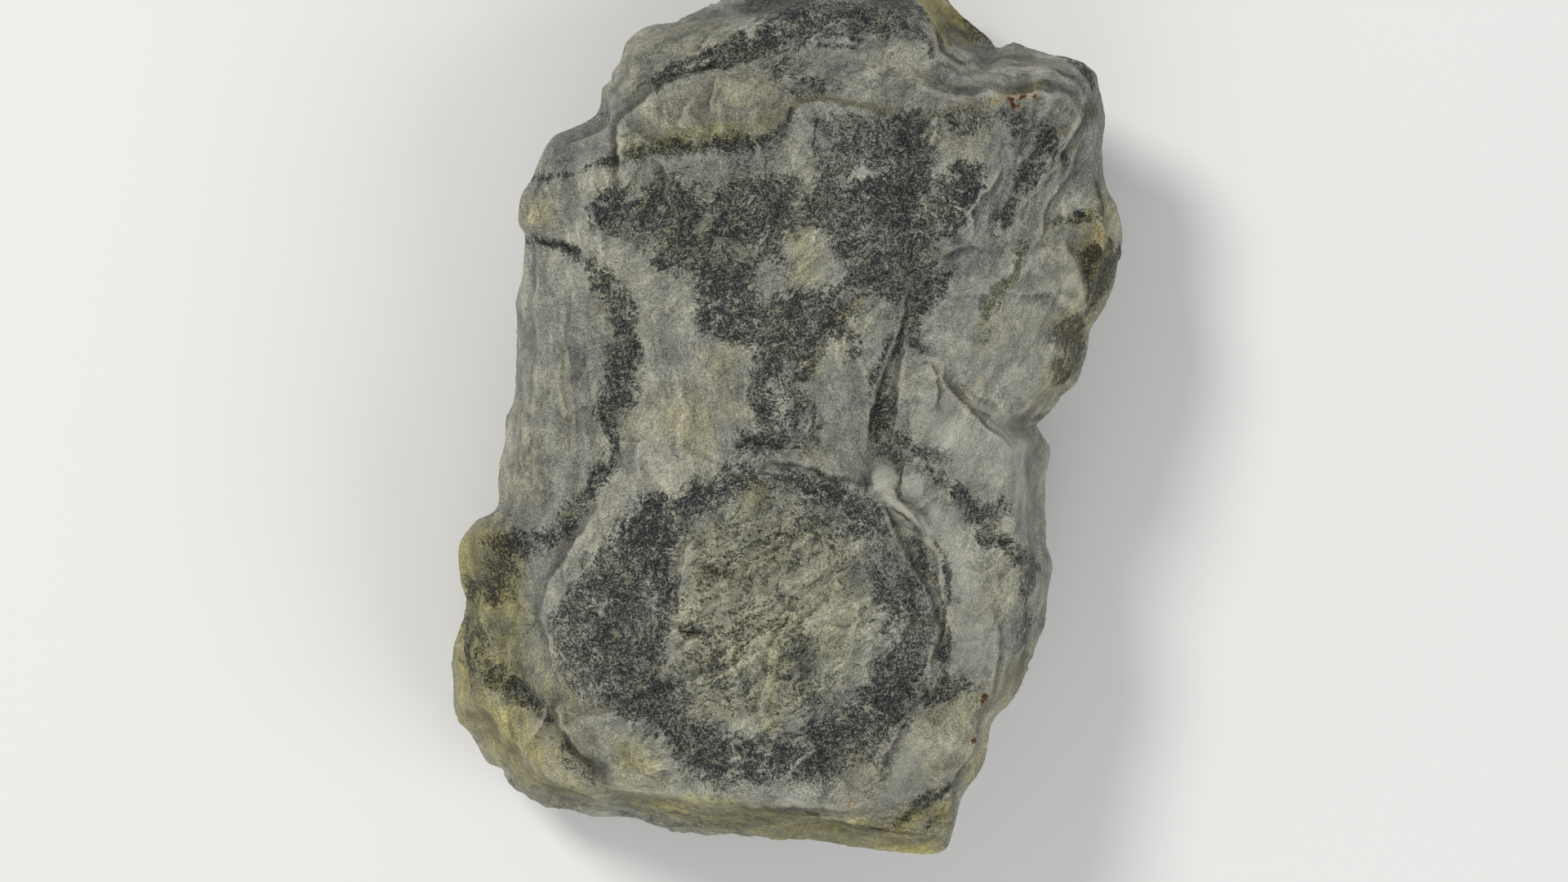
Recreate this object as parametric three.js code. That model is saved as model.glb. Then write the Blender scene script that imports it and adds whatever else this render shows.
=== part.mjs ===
// A hand specimen of folded schist, lying on its back with its best broken face up.
// The stone is one solid. Its outline is a closed curve drawn round the rim, where the stone is
// widest; the face is a crown over that outline, shaped by broad lumps, by ledges where a layer has
// broken away, and by cracks. Below the rim the sides carry the outline's notches down, broken by
// undercuts and facets, and draw in to a flat cleavage plane that the stone lies on.
// Millimetres, +Z up. +Y is the narrow end of the specimen, +X its right side seen from above.
import * as THREE from "three";

// ---- driving dimensions ----
const crownHeight = 49; // height of the face above the table, before lumps are added
const crownFall = [7, 4]; // how far the crown falls from the middle to the sides, and to the ends
const crownHalf = [57, 76]; // half width and half length that the fall is measured over
const middle = [0.5, 4.5]; // the point that the outline is drawn in towards
const lean = [3, -4]; // how far the foot lies off the rim's middle, in X and Y
const archPower = 0.85; // how full the shoulder is: 1 is a quarter of an ellipse, less is fuller
const narrowLevel = 25; // height at which the outline has its true size
const narrowing = 1 / 900; // how much the stone narrows for each millimetre above that level

// ---- fineness of the mesh ----
const sheetColumns = 30; // cells across the sheet in the middle of the face
const sheetRows = 52; // cells along it
const borderRows = 6; // rows of cells from the sheet to the edge of the face
const shoulderRows = 4; // rows of cells from there over the shoulder to the rim
const sideRows = 6; // rows of cells from the rim to the foot
const footRings = 2; // rings of cells across the underside
const border = 16; // how far the sheet lies inside the outline
const outlineSteps = 2400; // points that the outline curve is read at
const calmSteps = 90; // points on each side that the sheet's calmer outline is averaged over
const leastSoft = 1.4; // ledges and cracks are never sharper than this, to suit the cells

// The outline, counterclockwise from the lower right corner.
const outline = [
  [28, -69.5], [29, -66.5], [30.5, -61], [33.5, -56.5], [35, -51], [35.5, -48.5], [39, -44.5],
  [41.5, -39], [43, -34.5], [44.5, -30], [45.5, -25], [46, -21], [45, -16], [45, -12.5],
  [45, -8], [45.5, -3.5], [45.5, -1], [43, 3], [46, 6], [48, 8.5], [50.5, 10.5], [52.5, 16],
  [52.5, 18.5], [55, 23.5], [56.5, 26.5], [57.5, 30.5], [58, 33.5], [58, 36.5], [57, 40],
  [55, 44.5], [54.5, 51.5], [55, 55.5], [54, 61], [53.5, 63], [51.5, 64.5], [45.5, 66.5],
  [39, 68], [36.5, 67.5], [34.5, 69.5], [29.5, 73.5], [26.5, 77.5], [23, 79], [17, 80],
  [8.5, 80], [0, 79], [-7, 77], [-11, 75.5], [-14, 74.5], [-19, 72], [-22, 71.5], [-26.5, 69],
  [-28, 65], [-29.5, 63], [-29.5, 62], [-31, 60.5], [-32, 56.5], [-36.5, 53.5], [-39, 52.5],
  [-40.5, 51], [-43, 46], [-44, 44], [-45, 42.5], [-45.5, 37.5], [-44.5, 35.5], [-44.5, 33.5],
  [-45, 28], [-46, 24], [-45.5, 19], [-46, 11], [-46, 8.5], [-47.5, 4], [-47.5, 0.5], [-49, -6],
  [-49, -11], [-50.5, -12.5], [-52.5, -13.5], [-55.5, -17.5], [-55.5, -24], [-54.5, -27.5],
  [-55.5, -33], [-56.5, -35.5], [-56.5, -42], [-56.5, -47], [-53.5, -50.5], [-50.5, -54.5],
  [-48.5, -56], [-46.5, -59], [-41.5, -62], [-38, -63], [-31.5, -64], [-26, -64.5],
  [-22.5, -65.5], [-17, -67], [-10, -67.5], [0, -68], [7.5, -69], [14.5, -70], [19.5, -70.5],
  [26.5, -70.5],
];

// The corners between the outline's right, upper, left and lower sides.
const corners = [[28, -69.5], [54, 61], [-26.5, 69], [-53.5, -50.5]];

// Round the stone: the direction in degrees from +X, the height of the rim there as a share of the
// face's height beside it, the width of the shoulder above it, and how far the side draws in below.
const rimStations = [
  [0, 0.42, 8, 10], [20, 0.62, 6, 12], [35, 0.85, 3.5, 15], [48, 0.8, 3.5, 16], [62, 0.5, 6, 12],
  [78, 0.36, 8, 9], [95, 0.45, 7, 10], [118, 0.75, 4, 15], [135, 0.88, 3, 18], [150, 0.8, 3, 16],
  [168, 0.6, 4, 12], [185, 0.72, 3.5, 12], [196, 0.85, 3.5, 14], [204, 0.75, 5, 15],
  [222, 0.45, 7, 12], [236, 0.34, 8, 9], [252, 0.42, 7, 10], [270, 0.66, 7, 13],
  [288, 0.82, 4, 16], [303, 0.7, 4, 15], [322, 0.4, 7, 10], [342, 0.32, 9, 9],
];

const lumps = {
  eyeDome: { at: [-7.5, -31.5], reach: [35, 31.5], turn: 0, height: 9.5 },
  upperSlab: { at: [-7.5, 40.5], reach: [26.5, 21], turn: 0, height: 4.5 },
  topBrow: { at: [0, 67], reach: [24, 8.5], turn: 0, height: -1 },
  rightLobe: { at: [38, 19.5], reach: [12.5, 18], turn: -15, height: 2.5 },
  leftLobeFall: { at: [-51.5, -39], reach: [13.5, 26.5], turn: 12, height: -9.5 },
  leftSlabFall: { at: [-42.5, 12.5], reach: [7, 31], turn: 0, height: -2 },
  wedgeHollow: { at: [32, 73], reach: [6.5, 8.5], turn: 35, height: -15 },
  neckDip: { at: [3.5, 5.5], reach: [10, 8.5], turn: 0, height: -2 },
  rightFall: { at: [52, 29.5], reach: [8.5, 28], turn: 0, height: -4 },
  rightSideDip: { at: [40, -31], reach: [10, 18], turn: -10, height: -4 },
  cornerFall: { at: [26.5, -64.5], reach: [10, 8.5], turn: 0, height: -5 },
  eyeTip: { at: [-3.5, -5], reach: [7, 4], turn: 0, height: 1.6 },
  rimKnob: { at: [-42, 40], reach: [3.5, 3.5], turn: 0, height: 1.8 },
  quartzKnobHigh: { at: [17, -5], reach: [2, 2], turn: 0, height: 2.2 },
  quartzKnobLow: { at: [19.5, -10], reach: [3.5, 2], turn: -35, height: 1.4 },
  lobeKnob: { at: [-50.5, -18.5], reach: [5, 3.5], turn: 0, height: 1.8 },
  eyeHeart: { at: [5.5, -36.5], reach: [12.5, 14], turn: 0, height: 0.8 },
  centreHollow: { at: [-11, -22.5], reach: [4, 2], turn: -10, height: -1.2 },
};
const ledges = {
  upperSlabEdge: {
    rise: 2.2, soft: 0.45, reach: 13,
    path: [
      [-15.5, 63], [-20.5, 61.5], [-23.5, 60], [-26, 57], [-28, 54.5], [-29, 52],
      [-28.5, 48.5], [-27.5, 43],
    ],
  },
  eyeLeftEdge: {
    rise: 1.8, soft: 0.6, reach: 18,
    path: [
      [-31, -9], [-34.5, -14.5], [-38, -19.5], [-41, -25.5], [-42, -30.5], [-41.5, -34.5],
      [-40, -39], [-38, -43],
    ],
  },
  eyeUndercut: {
    rise: 3.4, soft: 0.4, reach: 16,
    path: [
      [-38, -43], [-39.5, -46], [-38.5, -49], [-36.5, -51], [-34.5, -53.5], [-32.5, -56],
      [-30, -59], [-28.5, -62.5],
    ],
  },
  bottomLip: {
    rise: 2.2, soft: 0.5, reach: 12,
    path: [
      [-30, -59], [-24.5, -61], [-19.5, -62.5], [-12.5, -62.5], [-6.5, -62.5], [0, -62.5],
      [5.5, -63.5], [11, -63.5], [13.5, -62], [15, -59.5],
    ],
  },
  eyeRightEdge: {
    rise: 2.8, soft: 0.4, reach: 12,
    path: [
      [26, -41.5], [25.5, -38.5], [26, -35.5], [26.5, -32], [26, -28.5], [25, -25],
      [22.5, -20.5], [21, -17.5], [19, -14.5], [16.5, -11], [14.5, -8],
    ],
  },
  trenchRightEdge: {
    rise: 1.8, soft: 0.4, reach: 10,
    path: [
      [22.5, -13.5], [24.5, -17], [26.5, -20], [27, -23.5], [27.5, -27.5], [27, -32],
      [26, -36.5],
    ],
  },
  clefLeftEdge: {
    rise: 2, soft: 0.45, reach: 9,
    path: [
      [14, -3], [15, 0], [15, 3.5], [15.5, 8], [17, 12], [18, 15.5], [19.5, 18], [21, 20.5],
      [20.5, 24.5], [21.5, 28.5],
    ],
  },
  clefRightEdge: {
    rise: 1.6, soft: 0.35, reach: 9,
    path: [
      [20, 17.5], [19.5, 14], [19, 10], [19, 5], [19, 1.5], [18.5, -2],
    ],
  },
  saddleCrest: {
    rise: 2.4, soft: 0.4, reach: 13,
    path: [
      [41.5, -8.5], [41, -4.5], [39.5, -1.5], [37.5, 0.5], [34.5, 2.5], [32, 5], [29.5, 8],
      [27.5, 11], [26.5, 14.5],
    ],
  },
  lobeFoot: {
    rise: 1.6, soft: 0.9, reach: 12,
    path: [
      [28, 10.5], [32, 8], [35.5, 6.5], [39, 3.5], [42.5, 2],
    ],
  },
  bladeEdge: {
    rise: 1.7, soft: 0.7, reach: 9,
    path: [
      [31, 32.5], [32.5, 34], [33.5, 36.5], [34.5, 39.5], [35.5, 42.5], [37, 45], [39, 48],
    ],
  },
  bladeFoot: {
    rise: 1.1, soft: 0.4, reach: 7,
    path: [
      [26.5, 31.5], [29, 32.5], [31, 33], [33.5, 32.5],
    ],
  },
  browEdge: {
    rise: 2.6, soft: 1.5, reach: 16,
    path: [
      [52, 55], [50, 58], [47.5, 60], [43.5, 61], [38.5, 60], [34.5, 60], [26.5, 60], [22, 61],
    ],
  },
  browCrease: {
    rise: 3.2, soft: 0.5, reach: 12,
    path: [
      [53, 57.5], [50.5, 61], [47.5, 63.5], [45, 65], [40.5, 65], [34.5, 64.5], [30.5, 64.5],
      [26.5, 66.5], [25, 70], [23.5, 74.5],
    ],
  },
  rightRidgeHigh: {
    rise: 1.7, soft: 0.4, reach: 7,
    path: [
      [47, 44.5], [47.5, 48], [48.5, 50.5], [50.5, 53], [52, 55.5], [52, 59],
    ],
  },
  rightRidgeLow: {
    rise: 1.1, soft: 0.5, reach: 7,
    path: [
      [44, 33.5], [45, 38], [46.5, 42], [48.5, 45.5], [50, 49], [51.5, 51.5],
    ],
  },
  brownPatchEdge: {
    rise: 2.4, soft: 0.5, reach: 11,
    path: [
      [50, 20], [52, 23], [51.5, 26.5], [50.5, 29.5], [49.5, 32.5], [48.5, 35.5],
    ],
  },
  leftCrest: {
    rise: 0.7, soft: 0.35, reach: 7,
    path: [
      [-35.5, -0.5], [-36, 5.5], [-36.5, 13], [-37, 18], [-36, 20.5], [-33.5, 21.5],
    ],
  },
  leftCrestInner: {
    rise: 0.5, soft: 0.3, reach: 5,
    path: [
      [-33.5, 17], [-33.5, 10.5], [-33, 4], [-32, -3],
    ],
  },
  greenCrease: {
    rise: 0.9, soft: 0.4, reach: 9,
    path: [
      [19.5, 55.5], [14.5, 57.5], [8.5, 58.5], [3, 58], [1, 56.5], [-0.5, 54.5],
    ],
  },
  slopeEdge: {
    rise: 2.4, soft: 0.5, reach: 12,
    path: [
      [28.5, -62.5], [30, -58], [33, -52], [35.5, -46.5], [36.5, -41.5], [37.5, -37],
      [37.5, -33], [36, -29],
    ],
  },
  quartzSeam: {
    rise: 0.8, soft: 0.35, reach: 6,
    path: [
      [25, -16], [23, -13], [20, -10.5], [18, -7],
    ],
  },
  chipEdge: {
    rise: 0.8, soft: 0.3, reach: 6,
    path: [
      [26, 6], [26.5, 8.5], [26, 11], [24, 14],
    ],
  },
  lowerFold: {
    rise: 0.9, soft: 0.6, reach: 9,
    path: [
      [15, -59.5], [17, -55], [20, -50.5], [21.5, -46.5],
    ],
  },
  lobeShelf: {
    rise: 1, soft: 0.7, reach: 9,
    path: [
      [-47.5, -57], [-43, -51], [-41, -47.5], [-40, -45],
    ],
  },
  wedgeFoot: {
    rise: 1.2, soft: 0.5, reach: 5,
    path: [
      [27, 66.5], [31, 65], [35.5, 66],
    ],
  },
};
const cracks = {
  mainValley: {
    depth: 2.2, half: 5,
    path: [
      [22.5, 66], [21.5, 54.5], [22, 42], [21, 29.5], [19.5, 15.5], [17, -3], [19.5, -14],
      [25, -24.5], [27, -33.5], [26.5, -43.5],
    ],
  },
  innerCleft: {
    depth: 1.2, half: 1.2,
    path: [
      [23.5, 61.5], [21.5, 53], [22, 40.5], [21, 29.5],
    ],
  },
  eyeTopCrack: {
    depth: 2.6, half: 0.7,
    path: [
      [-8.5, -1.5], [-7.5, 0], [-5, 0], [-3, -1], [-0.5, -2.5],
    ],
  },
  eyeTopSeam: {
    depth: 1.3, half: 0.5,
    path: [
      [-5, -4], [0.5, -4], [5, -5.5], [8.5, -6.5], [12, -6.5], [14.5, -7.5],
    ],
  },
  knobPit: {
    depth: 2.6, half: 1.3,
    path: [
      [13, -6], [14.5, -6.5],
    ],
  },
  slabCrack: {
    depth: 0.9, half: 0.5,
    path: [
      [-23, 60], [-20.5, 61.5], [-15.5, 63.5], [-10, 65.5],
    ],
  },
  slabNick: {
    depth: 0.6, half: 0.35,
    path: [
      [-28.5, 52.5], [-25, 53], [-23.5, 53.5],
    ],
  },
  rimCrease: {
    depth: 1.4, half: 0.6,
    path: [
      [-45, 35.5], [-42.5, 34.5], [-39, 34], [-36, 32.5],
    ],
  },
  eyeCrack: {
    depth: 0.8, half: 0.35,
    path: [
      [-18, -31], [-17.5, -32.5], [-15, -32.5], [-12.5, -33],
    ],
  },
  pitLine: {
    depth: 0.7, half: 0.4,
    path: [
      [-16, -21.5], [-13, -22], [-10.5, -22.5],
    ],
  },
  strataUpper: {
    depth: 0.9, half: 0.45,
    path: [
      [-27.5, -61], [-22.5, -63], [-11, -64], [0, -64.5], [10, -65.5], [20.5, -67], [26.5, -68],
    ],
  },
  strataLower: {
    depth: 0.8, half: 0.4,
    path: [
      [-25, -63.5], [-15.5, -65], [-5.5, -66], [4, -66.5], [14, -68], [22.5, -69],
    ],
  },
  saddleGroove: {
    depth: 1, half: 0.9,
    path: [
      [28, 10], [31.5, 6], [35.5, 3.5], [39, 1], [42.5, -3],
    ],
  },
  eyeRightCrack: {
    depth: 1.2, half: 0.5,
    path: [
      [19.5, -15], [22, -20], [25, -24.5], [26, -28.5], [26, -35],
    ],
  },
  lowerRightCrease: {
    depth: 0.8, half: 0.6,
    path: [
      [18.5, -66], [22, -64], [26, -61], [29, -58],
    ],
  },
  lobeCreaseHigh: {
    depth: 1, half: 0.5,
    path: [
      [-36.5, -51], [-33, -55], [-29.5, -59],
    ],
  },
};

// Broken facets of the sides: a point that each plane passes through, and its outward normal.
const facets = {
  lowerLeft: { through: [-47, -40, 9], facing: [-0.78, -0.3, -0.55] },
  lowerLeftEnd: { through: [-38, -55, 6], facing: [-0.5, -0.75, -0.43] },
  left: { through: [-42, 6, 14], facing: [-0.86, 0.1, -0.5] },
  leftFoot: { through: [-38, 30, 6], facing: [-0.6, 0.3, -0.74] },
  upperLeft: { through: [-33, 50, 18], facing: [-0.66, 0.56, -0.5] },
  top: { through: [6, 73, 7], facing: [0.12, 0.9, -0.42] },
  upperRight: { through: [45, 55, 18], facing: [0.66, 0.45, -0.6] },
  right: { through: [49, 26, 12], facing: [0.9, -0.1, -0.42] },
  rightFoot: { through: [41, -4, 5], facing: [0.75, -0.2, -0.63] },
  lowerRight: { through: [36, -42, 10], facing: [0.86, -0.3, -0.4] },
  bottom: { through: [14, -64, 17], facing: [0.16, -0.86, -0.48] },
  bottomFoot: { through: [-18, -60, 8], facing: [-0.12, -0.7, -0.7] },
};
const facetKeep = 0.1; // share of a facet's bulge that is left standing

// Undercuts where a layer hangs over the side below it: from one direction to another in degrees,
// the layer's lower edge at each end as a share of the rim's height, and how far the side steps in.
const undercuts = [
  { span: [150, 192], edge: [0.75, 0.55], depth: 2.2 },
  { span: [188, 228], edge: [0.8, 0.5], depth: 2.4 },
  { span: [222, 268], edge: [0.35, 0.7], depth: 2 },
  { span: [262, 306], edge: [0.8, 0.55], depth: 2.6 },
  { span: [312, 366], edge: [0.45, 0.7], depth: 2.2 },
  { span: [12, 56], edge: [0.55, 0.8], depth: 2.6 },
  { span: [66, 132], edge: [0.45, 0.75], depth: 3 },
];
const undercutSoft = 0.1; // share of the rim's height over which the side steps in

// Scallops where flakes have split off the sides, with sharp ridges between them: wave numbers in X,
// Y and Z per millimetre, phase, depth. The last two are the broken edges of the upright layers.
const scallops = [
  [0.1, 0.06, 0.09, 0.7, 1.6], [-0.07, 0.13, 0.06, 2.2, 1.3], [0.17, -0.08, -0.15, 4.1, 0.9],
  [0.3, 0.22, 0.02, 1.2, 0.6], [-0.14, 0.36, -0.03, 3.4, 0.7],
];

// Small swells over the whole skin: wave numbers in X, Y and Z per millimetre, phase, height.
const swells = [
  [0.21, 0.13, 0.17, 0.4, 0.35], [-0.16, 0.29, 0.11, 2.1, 0.3], [0.37, -0.19, 0.23, 4.0, 0.22],
  [0.11, 0.47, -0.31, 1.3, 0.18], [0.58, 0.22, 0.41, 5.2, 0.13], [-0.43, 0.61, 0.35, 3.3, 0.11],
];

const clamp = (x) => Math.min(1, Math.max(0, x));
const smooth = (x) => clamp(x) ** 2 * (3 - 2 * clamp(x));

// The outline as a closed curve through its points, read at equal steps along its length.
const outlineCurve = new THREE.CatmullRomCurve3(
  outline.map(([x, y]) => new THREE.Vector3(x, y, 0)),
  true,
  "centripetal",
);
outlineCurve.arcLengthDivisions = outlineSteps;
const outlinePoints = outlineCurve.getSpacedPoints(outlineSteps);

// The share of the way round at which the outline passes each corner.
const cornerShares = corners.map(([x, y]) => {
  const gaps = outlinePoints.map((point) => Math.hypot(point.x - x, point.y - y));
  return gaps.indexOf(Math.min(...gaps)) / outlineSteps;
});

// The sheet's edge: the same curve with its notches averaged away, moved in by the border.
const sheetEdge = outlinePoints.map((_, k) => {
  const point = new THREE.Vector3();
  for (let step = k - calmSteps; step <= k + calmSteps; step++) {
    point.add(outlinePoints[(step + outlineSteps) % outlineSteps]);
  }
  point.divideScalar(2 * calmSteps + 1);
  const outward = point.clone().sub(new THREE.Vector3(...middle, 0));
  return point.sub(outward.setLength(border));
});

// A point of either curve: side 0 is the right one, 1 the upper, 2 the left, 3 the lower, and way is
// the share of the way along it, counterclockwise.
function pointOn(curve, side, way) {
  const from = cornerShares[side];
  const to = side === 3 ? 1 : cornerShares[side + 1];
  const step = (from + (to - from) * way) * outlineSteps;
  const first = Math.min(outlineSteps - 1, Math.floor(step));
  return curve[first].clone().lerp(curve[first + 1], step - first);
}

// What the rim stations say for a direction, eased from station to station.
function rimAt(turn) {
  const next = rimStations.findIndex(([degrees]) => degrees > turn);
  const after = next < 0 ? 0 : next;
  const before = (after + rimStations.length - 1) % rimStations.length;
  const span = (rimStations[after][0] - rimStations[before][0] + 360) % 360;
  const mix = smooth(((turn - rimStations[before][0] + 360) % 360) / span);
  return rimStations[before].map((value, k) => value + (rimStations[after][k] - value) * mix);
}

// The nearest place on a path: the signed distance to it, positive on the left of travel, and the
// share of the path's length where it lies.
function nearest(path, x, y) {
  const lengths = path.slice(1).map(([px, py], k) => Math.hypot(px - path[k][0], py - path[k][1]));
  const total = lengths.reduce((sum, length) => sum + length, 0);
  let best = { gap: Infinity, side: 1, share: 0 };
  let run = 0;
  lengths.forEach((length, k) => {
    const dx = (path[k + 1][0] - path[k][0]) / length;
    const dy = (path[k + 1][1] - path[k][1]) / length;
    const ahead = (x - path[k][0]) * dx + (y - path[k][1]) * dy;
    const along = Math.min(length, Math.max(0, ahead));
    const gap = Math.hypot(x - path[k][0] - dx * along, y - path[k][1] - dy * along);
    if (gap < best.gap) {
      const side = dx * (y - path[k][1]) - dy * (x - path[k][0]);
      best = { gap, side: side < 0 ? -1 : 1, share: (run + along) / total };
    }
    run += length;
  });
  return { distance: best.gap * best.side, share: best.share };
}

// A form dies out over a part of its length at each end.
const endFade = (share, part) => smooth(share / part) * smooth((1 - share) / part);

// The height of the face over a point of the outline's plane.
function faceHeight(x, y) {
  let z = crownHeight;
  z -= crownFall[0] * (x / crownHalf[0]) ** 2 + crownFall[1] * (y / crownHalf[1]) ** 2;
  for (const { at, reach, turn, height } of Object.values(lumps)) {
    const angle = THREE.MathUtils.degToRad(turn);
    const along = (x - at[0]) * Math.cos(angle) + (y - at[1]) * Math.sin(angle);
    const across = (y - at[1]) * Math.cos(angle) - (x - at[0]) * Math.sin(angle);
    z += height * Math.exp(-((along / reach[0]) ** 2) - (across / reach[1]) ** 2);
  }
  for (const { rise, soft, reach, path } of Object.values(ledges)) {
    const { distance, share } = nearest(path, x, y);
    const width = 2 * Math.max(soft, leastSoft);
    const step = smooth(0.5 + distance / width) * Math.exp(-Math.max(0, distance) / reach);
    z += rise * step * endFade(share, 0.18);
  }
  for (const { depth, half, path } of Object.values(cracks)) {
    const { distance, share } = nearest(path, x, y);
    const across = distance / Math.max(half, leastSoft);
    z -= depth * Math.exp(-(across ** 2)) * endFade(share, 0.12);
  }
  return z;
}

// How far the side steps in below its undercuts, at a direction in degrees and a height given as a
// share of the rim's.
function undercutAt(turn, heightShare) {
  return undercuts.reduce((sum, { span, edge, depth }) => {
    const ahead = turn + 360 <= span[1] ? turn + 360 : turn;
    const share = (ahead - span[0]) / (span[1] - span[0]);
    const past = edge[0] + (edge[1] - edge[0]) * clamp(share) - heightShare;
    return sum + depth * smooth(past / undercutSoft) * endFade(share, 0.15);
  }, 0);
}

// The sum of a list of waves at a point, each passed through a function of its own.
const wavesAt = (waves, { x, y, z }, shape) => {
  return waves.reduce((sum, [kx, ky, kz, phase, height]) => {
    return sum + height * shape(Math.sin(kx * x + ky * y + kz * z + phase));
  }, 0);
};

// Moves a point level with the table, in behind each facet's plane that it stands proud of.
function chip(point, strength) {
  for (const { through, facing } of Object.values(facets)) {
    const normal = new THREE.Vector3(...facing).normalize();
    const proud = point.clone().sub(new THREE.Vector3(...through)).dot(normal);
    const plan = new THREE.Vector3(normal.x, normal.y, 0);
    const move = (Math.max(0, proud) * strength * (1 - facetKeep)) / plan.lengthSq();
    point.addScaledVector(plan, -move);
  }
}

const narrowed = (point) => {
  const scale = 1 - (point.z - narrowLevel) * narrowing;
  return point.multiply(new THREE.Vector3(scale, scale, 1));
};

// A point of the face over a point of the plan.
function facePoint({ x, y }) {
  const point = new THREE.Vector3(x, y, faceHeight(x, y));
  point.z += wavesAt(swells, point, (wave) => wave);
  return point;
}

// A point of the sheet's plan, u across and v along it, from 0 to 1. The sheet is stretched between
// its four sides: the blend across, plus the blend along, less the blend of the corners.
function sheetPoint(u, v) {
  const side = (number, way) => pointOn(sheetEdge, number, way);
  const blends = [
    [1 - u, side(2, 1 - v)], [u, side(0, v)], [1 - v, side(3, u)], [v, side(1, 1 - u)],
    [-(1 - u) * (1 - v), side(3, 0)], [-u * (1 - v), side(0, 0)],
    [-u * v, side(1, 0)], [-(1 - u) * v, side(2, 0)],
  ];
  const point = new THREE.Vector3();
  blends.forEach(([share, corner]) => point.addScaledVector(corner, share));
  return point;
}

// The points below each other from the sheet's edge outwards and down, for one point of the outline,
// row by row: over the border, over the rounded shoulder to the rim, down the side to the foot, and
// in across the underside.
function columnOfPoints(start, edge) {
  const outward = edge.clone().sub(new THREE.Vector3(...middle, 0));
  const radius = outward.length();
  const turn = (THREE.MathUtils.radToDeg(Math.atan2(outward.y, outward.x)) + 360) % 360;
  const [, rimShare, shoulder, drawIn] = rimAt(turn);
  const faceEdge = edge.clone().addScaledVector(outward, -shoulder / radius);
  const rimHeight = rimShare * faceHeight(faceEdge.x, faceEdge.y);
  const inside = (inset) => edge.clone().addScaledVector(outward, -inset / radius);
  const biteInto = (point, strength) => {
    const bite = wavesAt(scallops, point, Math.abs) * strength;
    point.addScaledVector(outward, -bite / radius);
  };
  const points = [];

  for (let row = 1; row <= borderRows; row++) {
    points.push(facePoint(start.clone().lerp(faceEdge, row / borderRows)));
  }
  for (let row = 1; row <= shoulderRows; row++) {
    const roll = (row / shoulderRows) * (Math.PI / 2);
    const point = facePoint(inside(shoulder * (1 - Math.sin(roll))));
    point.z = rimHeight + (point.z - rimHeight) * Math.cos(roll) ** archPower;
    biteInto(point, (Math.sin(2 * roll) * row) / shoulderRows);
    points.push(point);
  }
  for (let row = 1; row <= sideRows; row++) {
    const drop = row / sideRows;
    const point = inside(drawIn * drop ** 2 + undercutAt(turn, 1 - drop));
    point.add(new THREE.Vector3(lean[0] * drop, lean[1] * drop, rimHeight * (1 - drop)));
    biteInto(point, clamp(2 * drop));
    chip(point, smooth(2.5 * drop));
    points.push(point);
  }
  const foot = points[points.length - 1];
  for (let ring = 1; ring < footRings; ring++) {
    points.push(foot.clone().lerp(new THREE.Vector3(...middle, 0), ring / footRings));
  }
  return points;
}

// The skin: the sheet of cells in the middle of the face, then rows of cells outwards and down all
// round it, closed at one point in the middle of the underside.
function stoneGeometry() {
  const points = [];
  const triangles = [];
  const add = (point) => points.push(...narrowed(point).toArray()) / 3 - 1;
  const quad = (a, b, c, d) => triangles.push(a, b, c, a, c, d);

  const plan = [];
  const sheet = [];
  for (let row = 0; row <= sheetRows; row++) {
    plan.push([]);
    for (let column = 0; column <= sheetColumns; column++) {
      plan[row].push(sheetPoint(column / sheetColumns, row / sheetRows));
    }
    sheet.push(plan[row].map((point) => add(facePoint(point))));
  }
  for (let row = 0; row < sheetRows; row++) {
    for (let column = 0; column < sheetColumns; column++) {
      const [near, far] = [sheet[row], sheet[row + 1]];
      quad(near[column], near[column + 1], far[column + 1], far[column]);
    }
  }

  // Round the sheet's edge counterclockwise from its lower right corner.
  const columns = [];
  [sheetRows, sheetColumns, sheetRows, sheetColumns].forEach((cells, side) => {
    for (let k = 0; k < cells; k++) {
      const row = [k, sheetRows, sheetRows - k, 0][side];
      const column = [sheetColumns, sheetColumns - k, 0, k][side];
      const edge = pointOn(outlinePoints, side, k / cells);
      const below = columnOfPoints(plan[row][column], edge).map(add);
      columns.push([sheet[row][column], ...below]);
    }
  });
  const foot = add(new THREE.Vector3(...middle, 0));
  columns.forEach((column, k) => {
    const next = columns[(k + 1) % columns.length];
    const last = column.length - 1;
    for (let row = 0; row < last; row++) {
      quad(column[row], column[row + 1], next[row + 1], next[row]);
    }
    triangles.push(column[last], foot, next[last]);
  });

  const geometry = new THREE.BufferGeometry();
  geometry.setAttribute("position", new THREE.Float32BufferAttribute(points, 3));
  geometry.setIndex(triangles);
  return geometry;
}

// The origin is in the middle of the stone's plan, on the table.
const geometry = stoneGeometry();
geometry.computeBoundingBox();
const centre = geometry.boundingBox.getCenter(new THREE.Vector3());
geometry.translate(-centre.x, -centre.y, 0);
geometry.computeVertexNormals();

const schist = new THREE.MeshStandardMaterial({ color: 0x8c8b79, roughness: 0.82, metalness: 0 });
const stone = new THREE.Mesh(geometry, schist);
stone.name = "folded_schist";

const specimen = new THREE.Group();
specimen.add(stone);

export default specimen;
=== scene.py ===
import math

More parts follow.
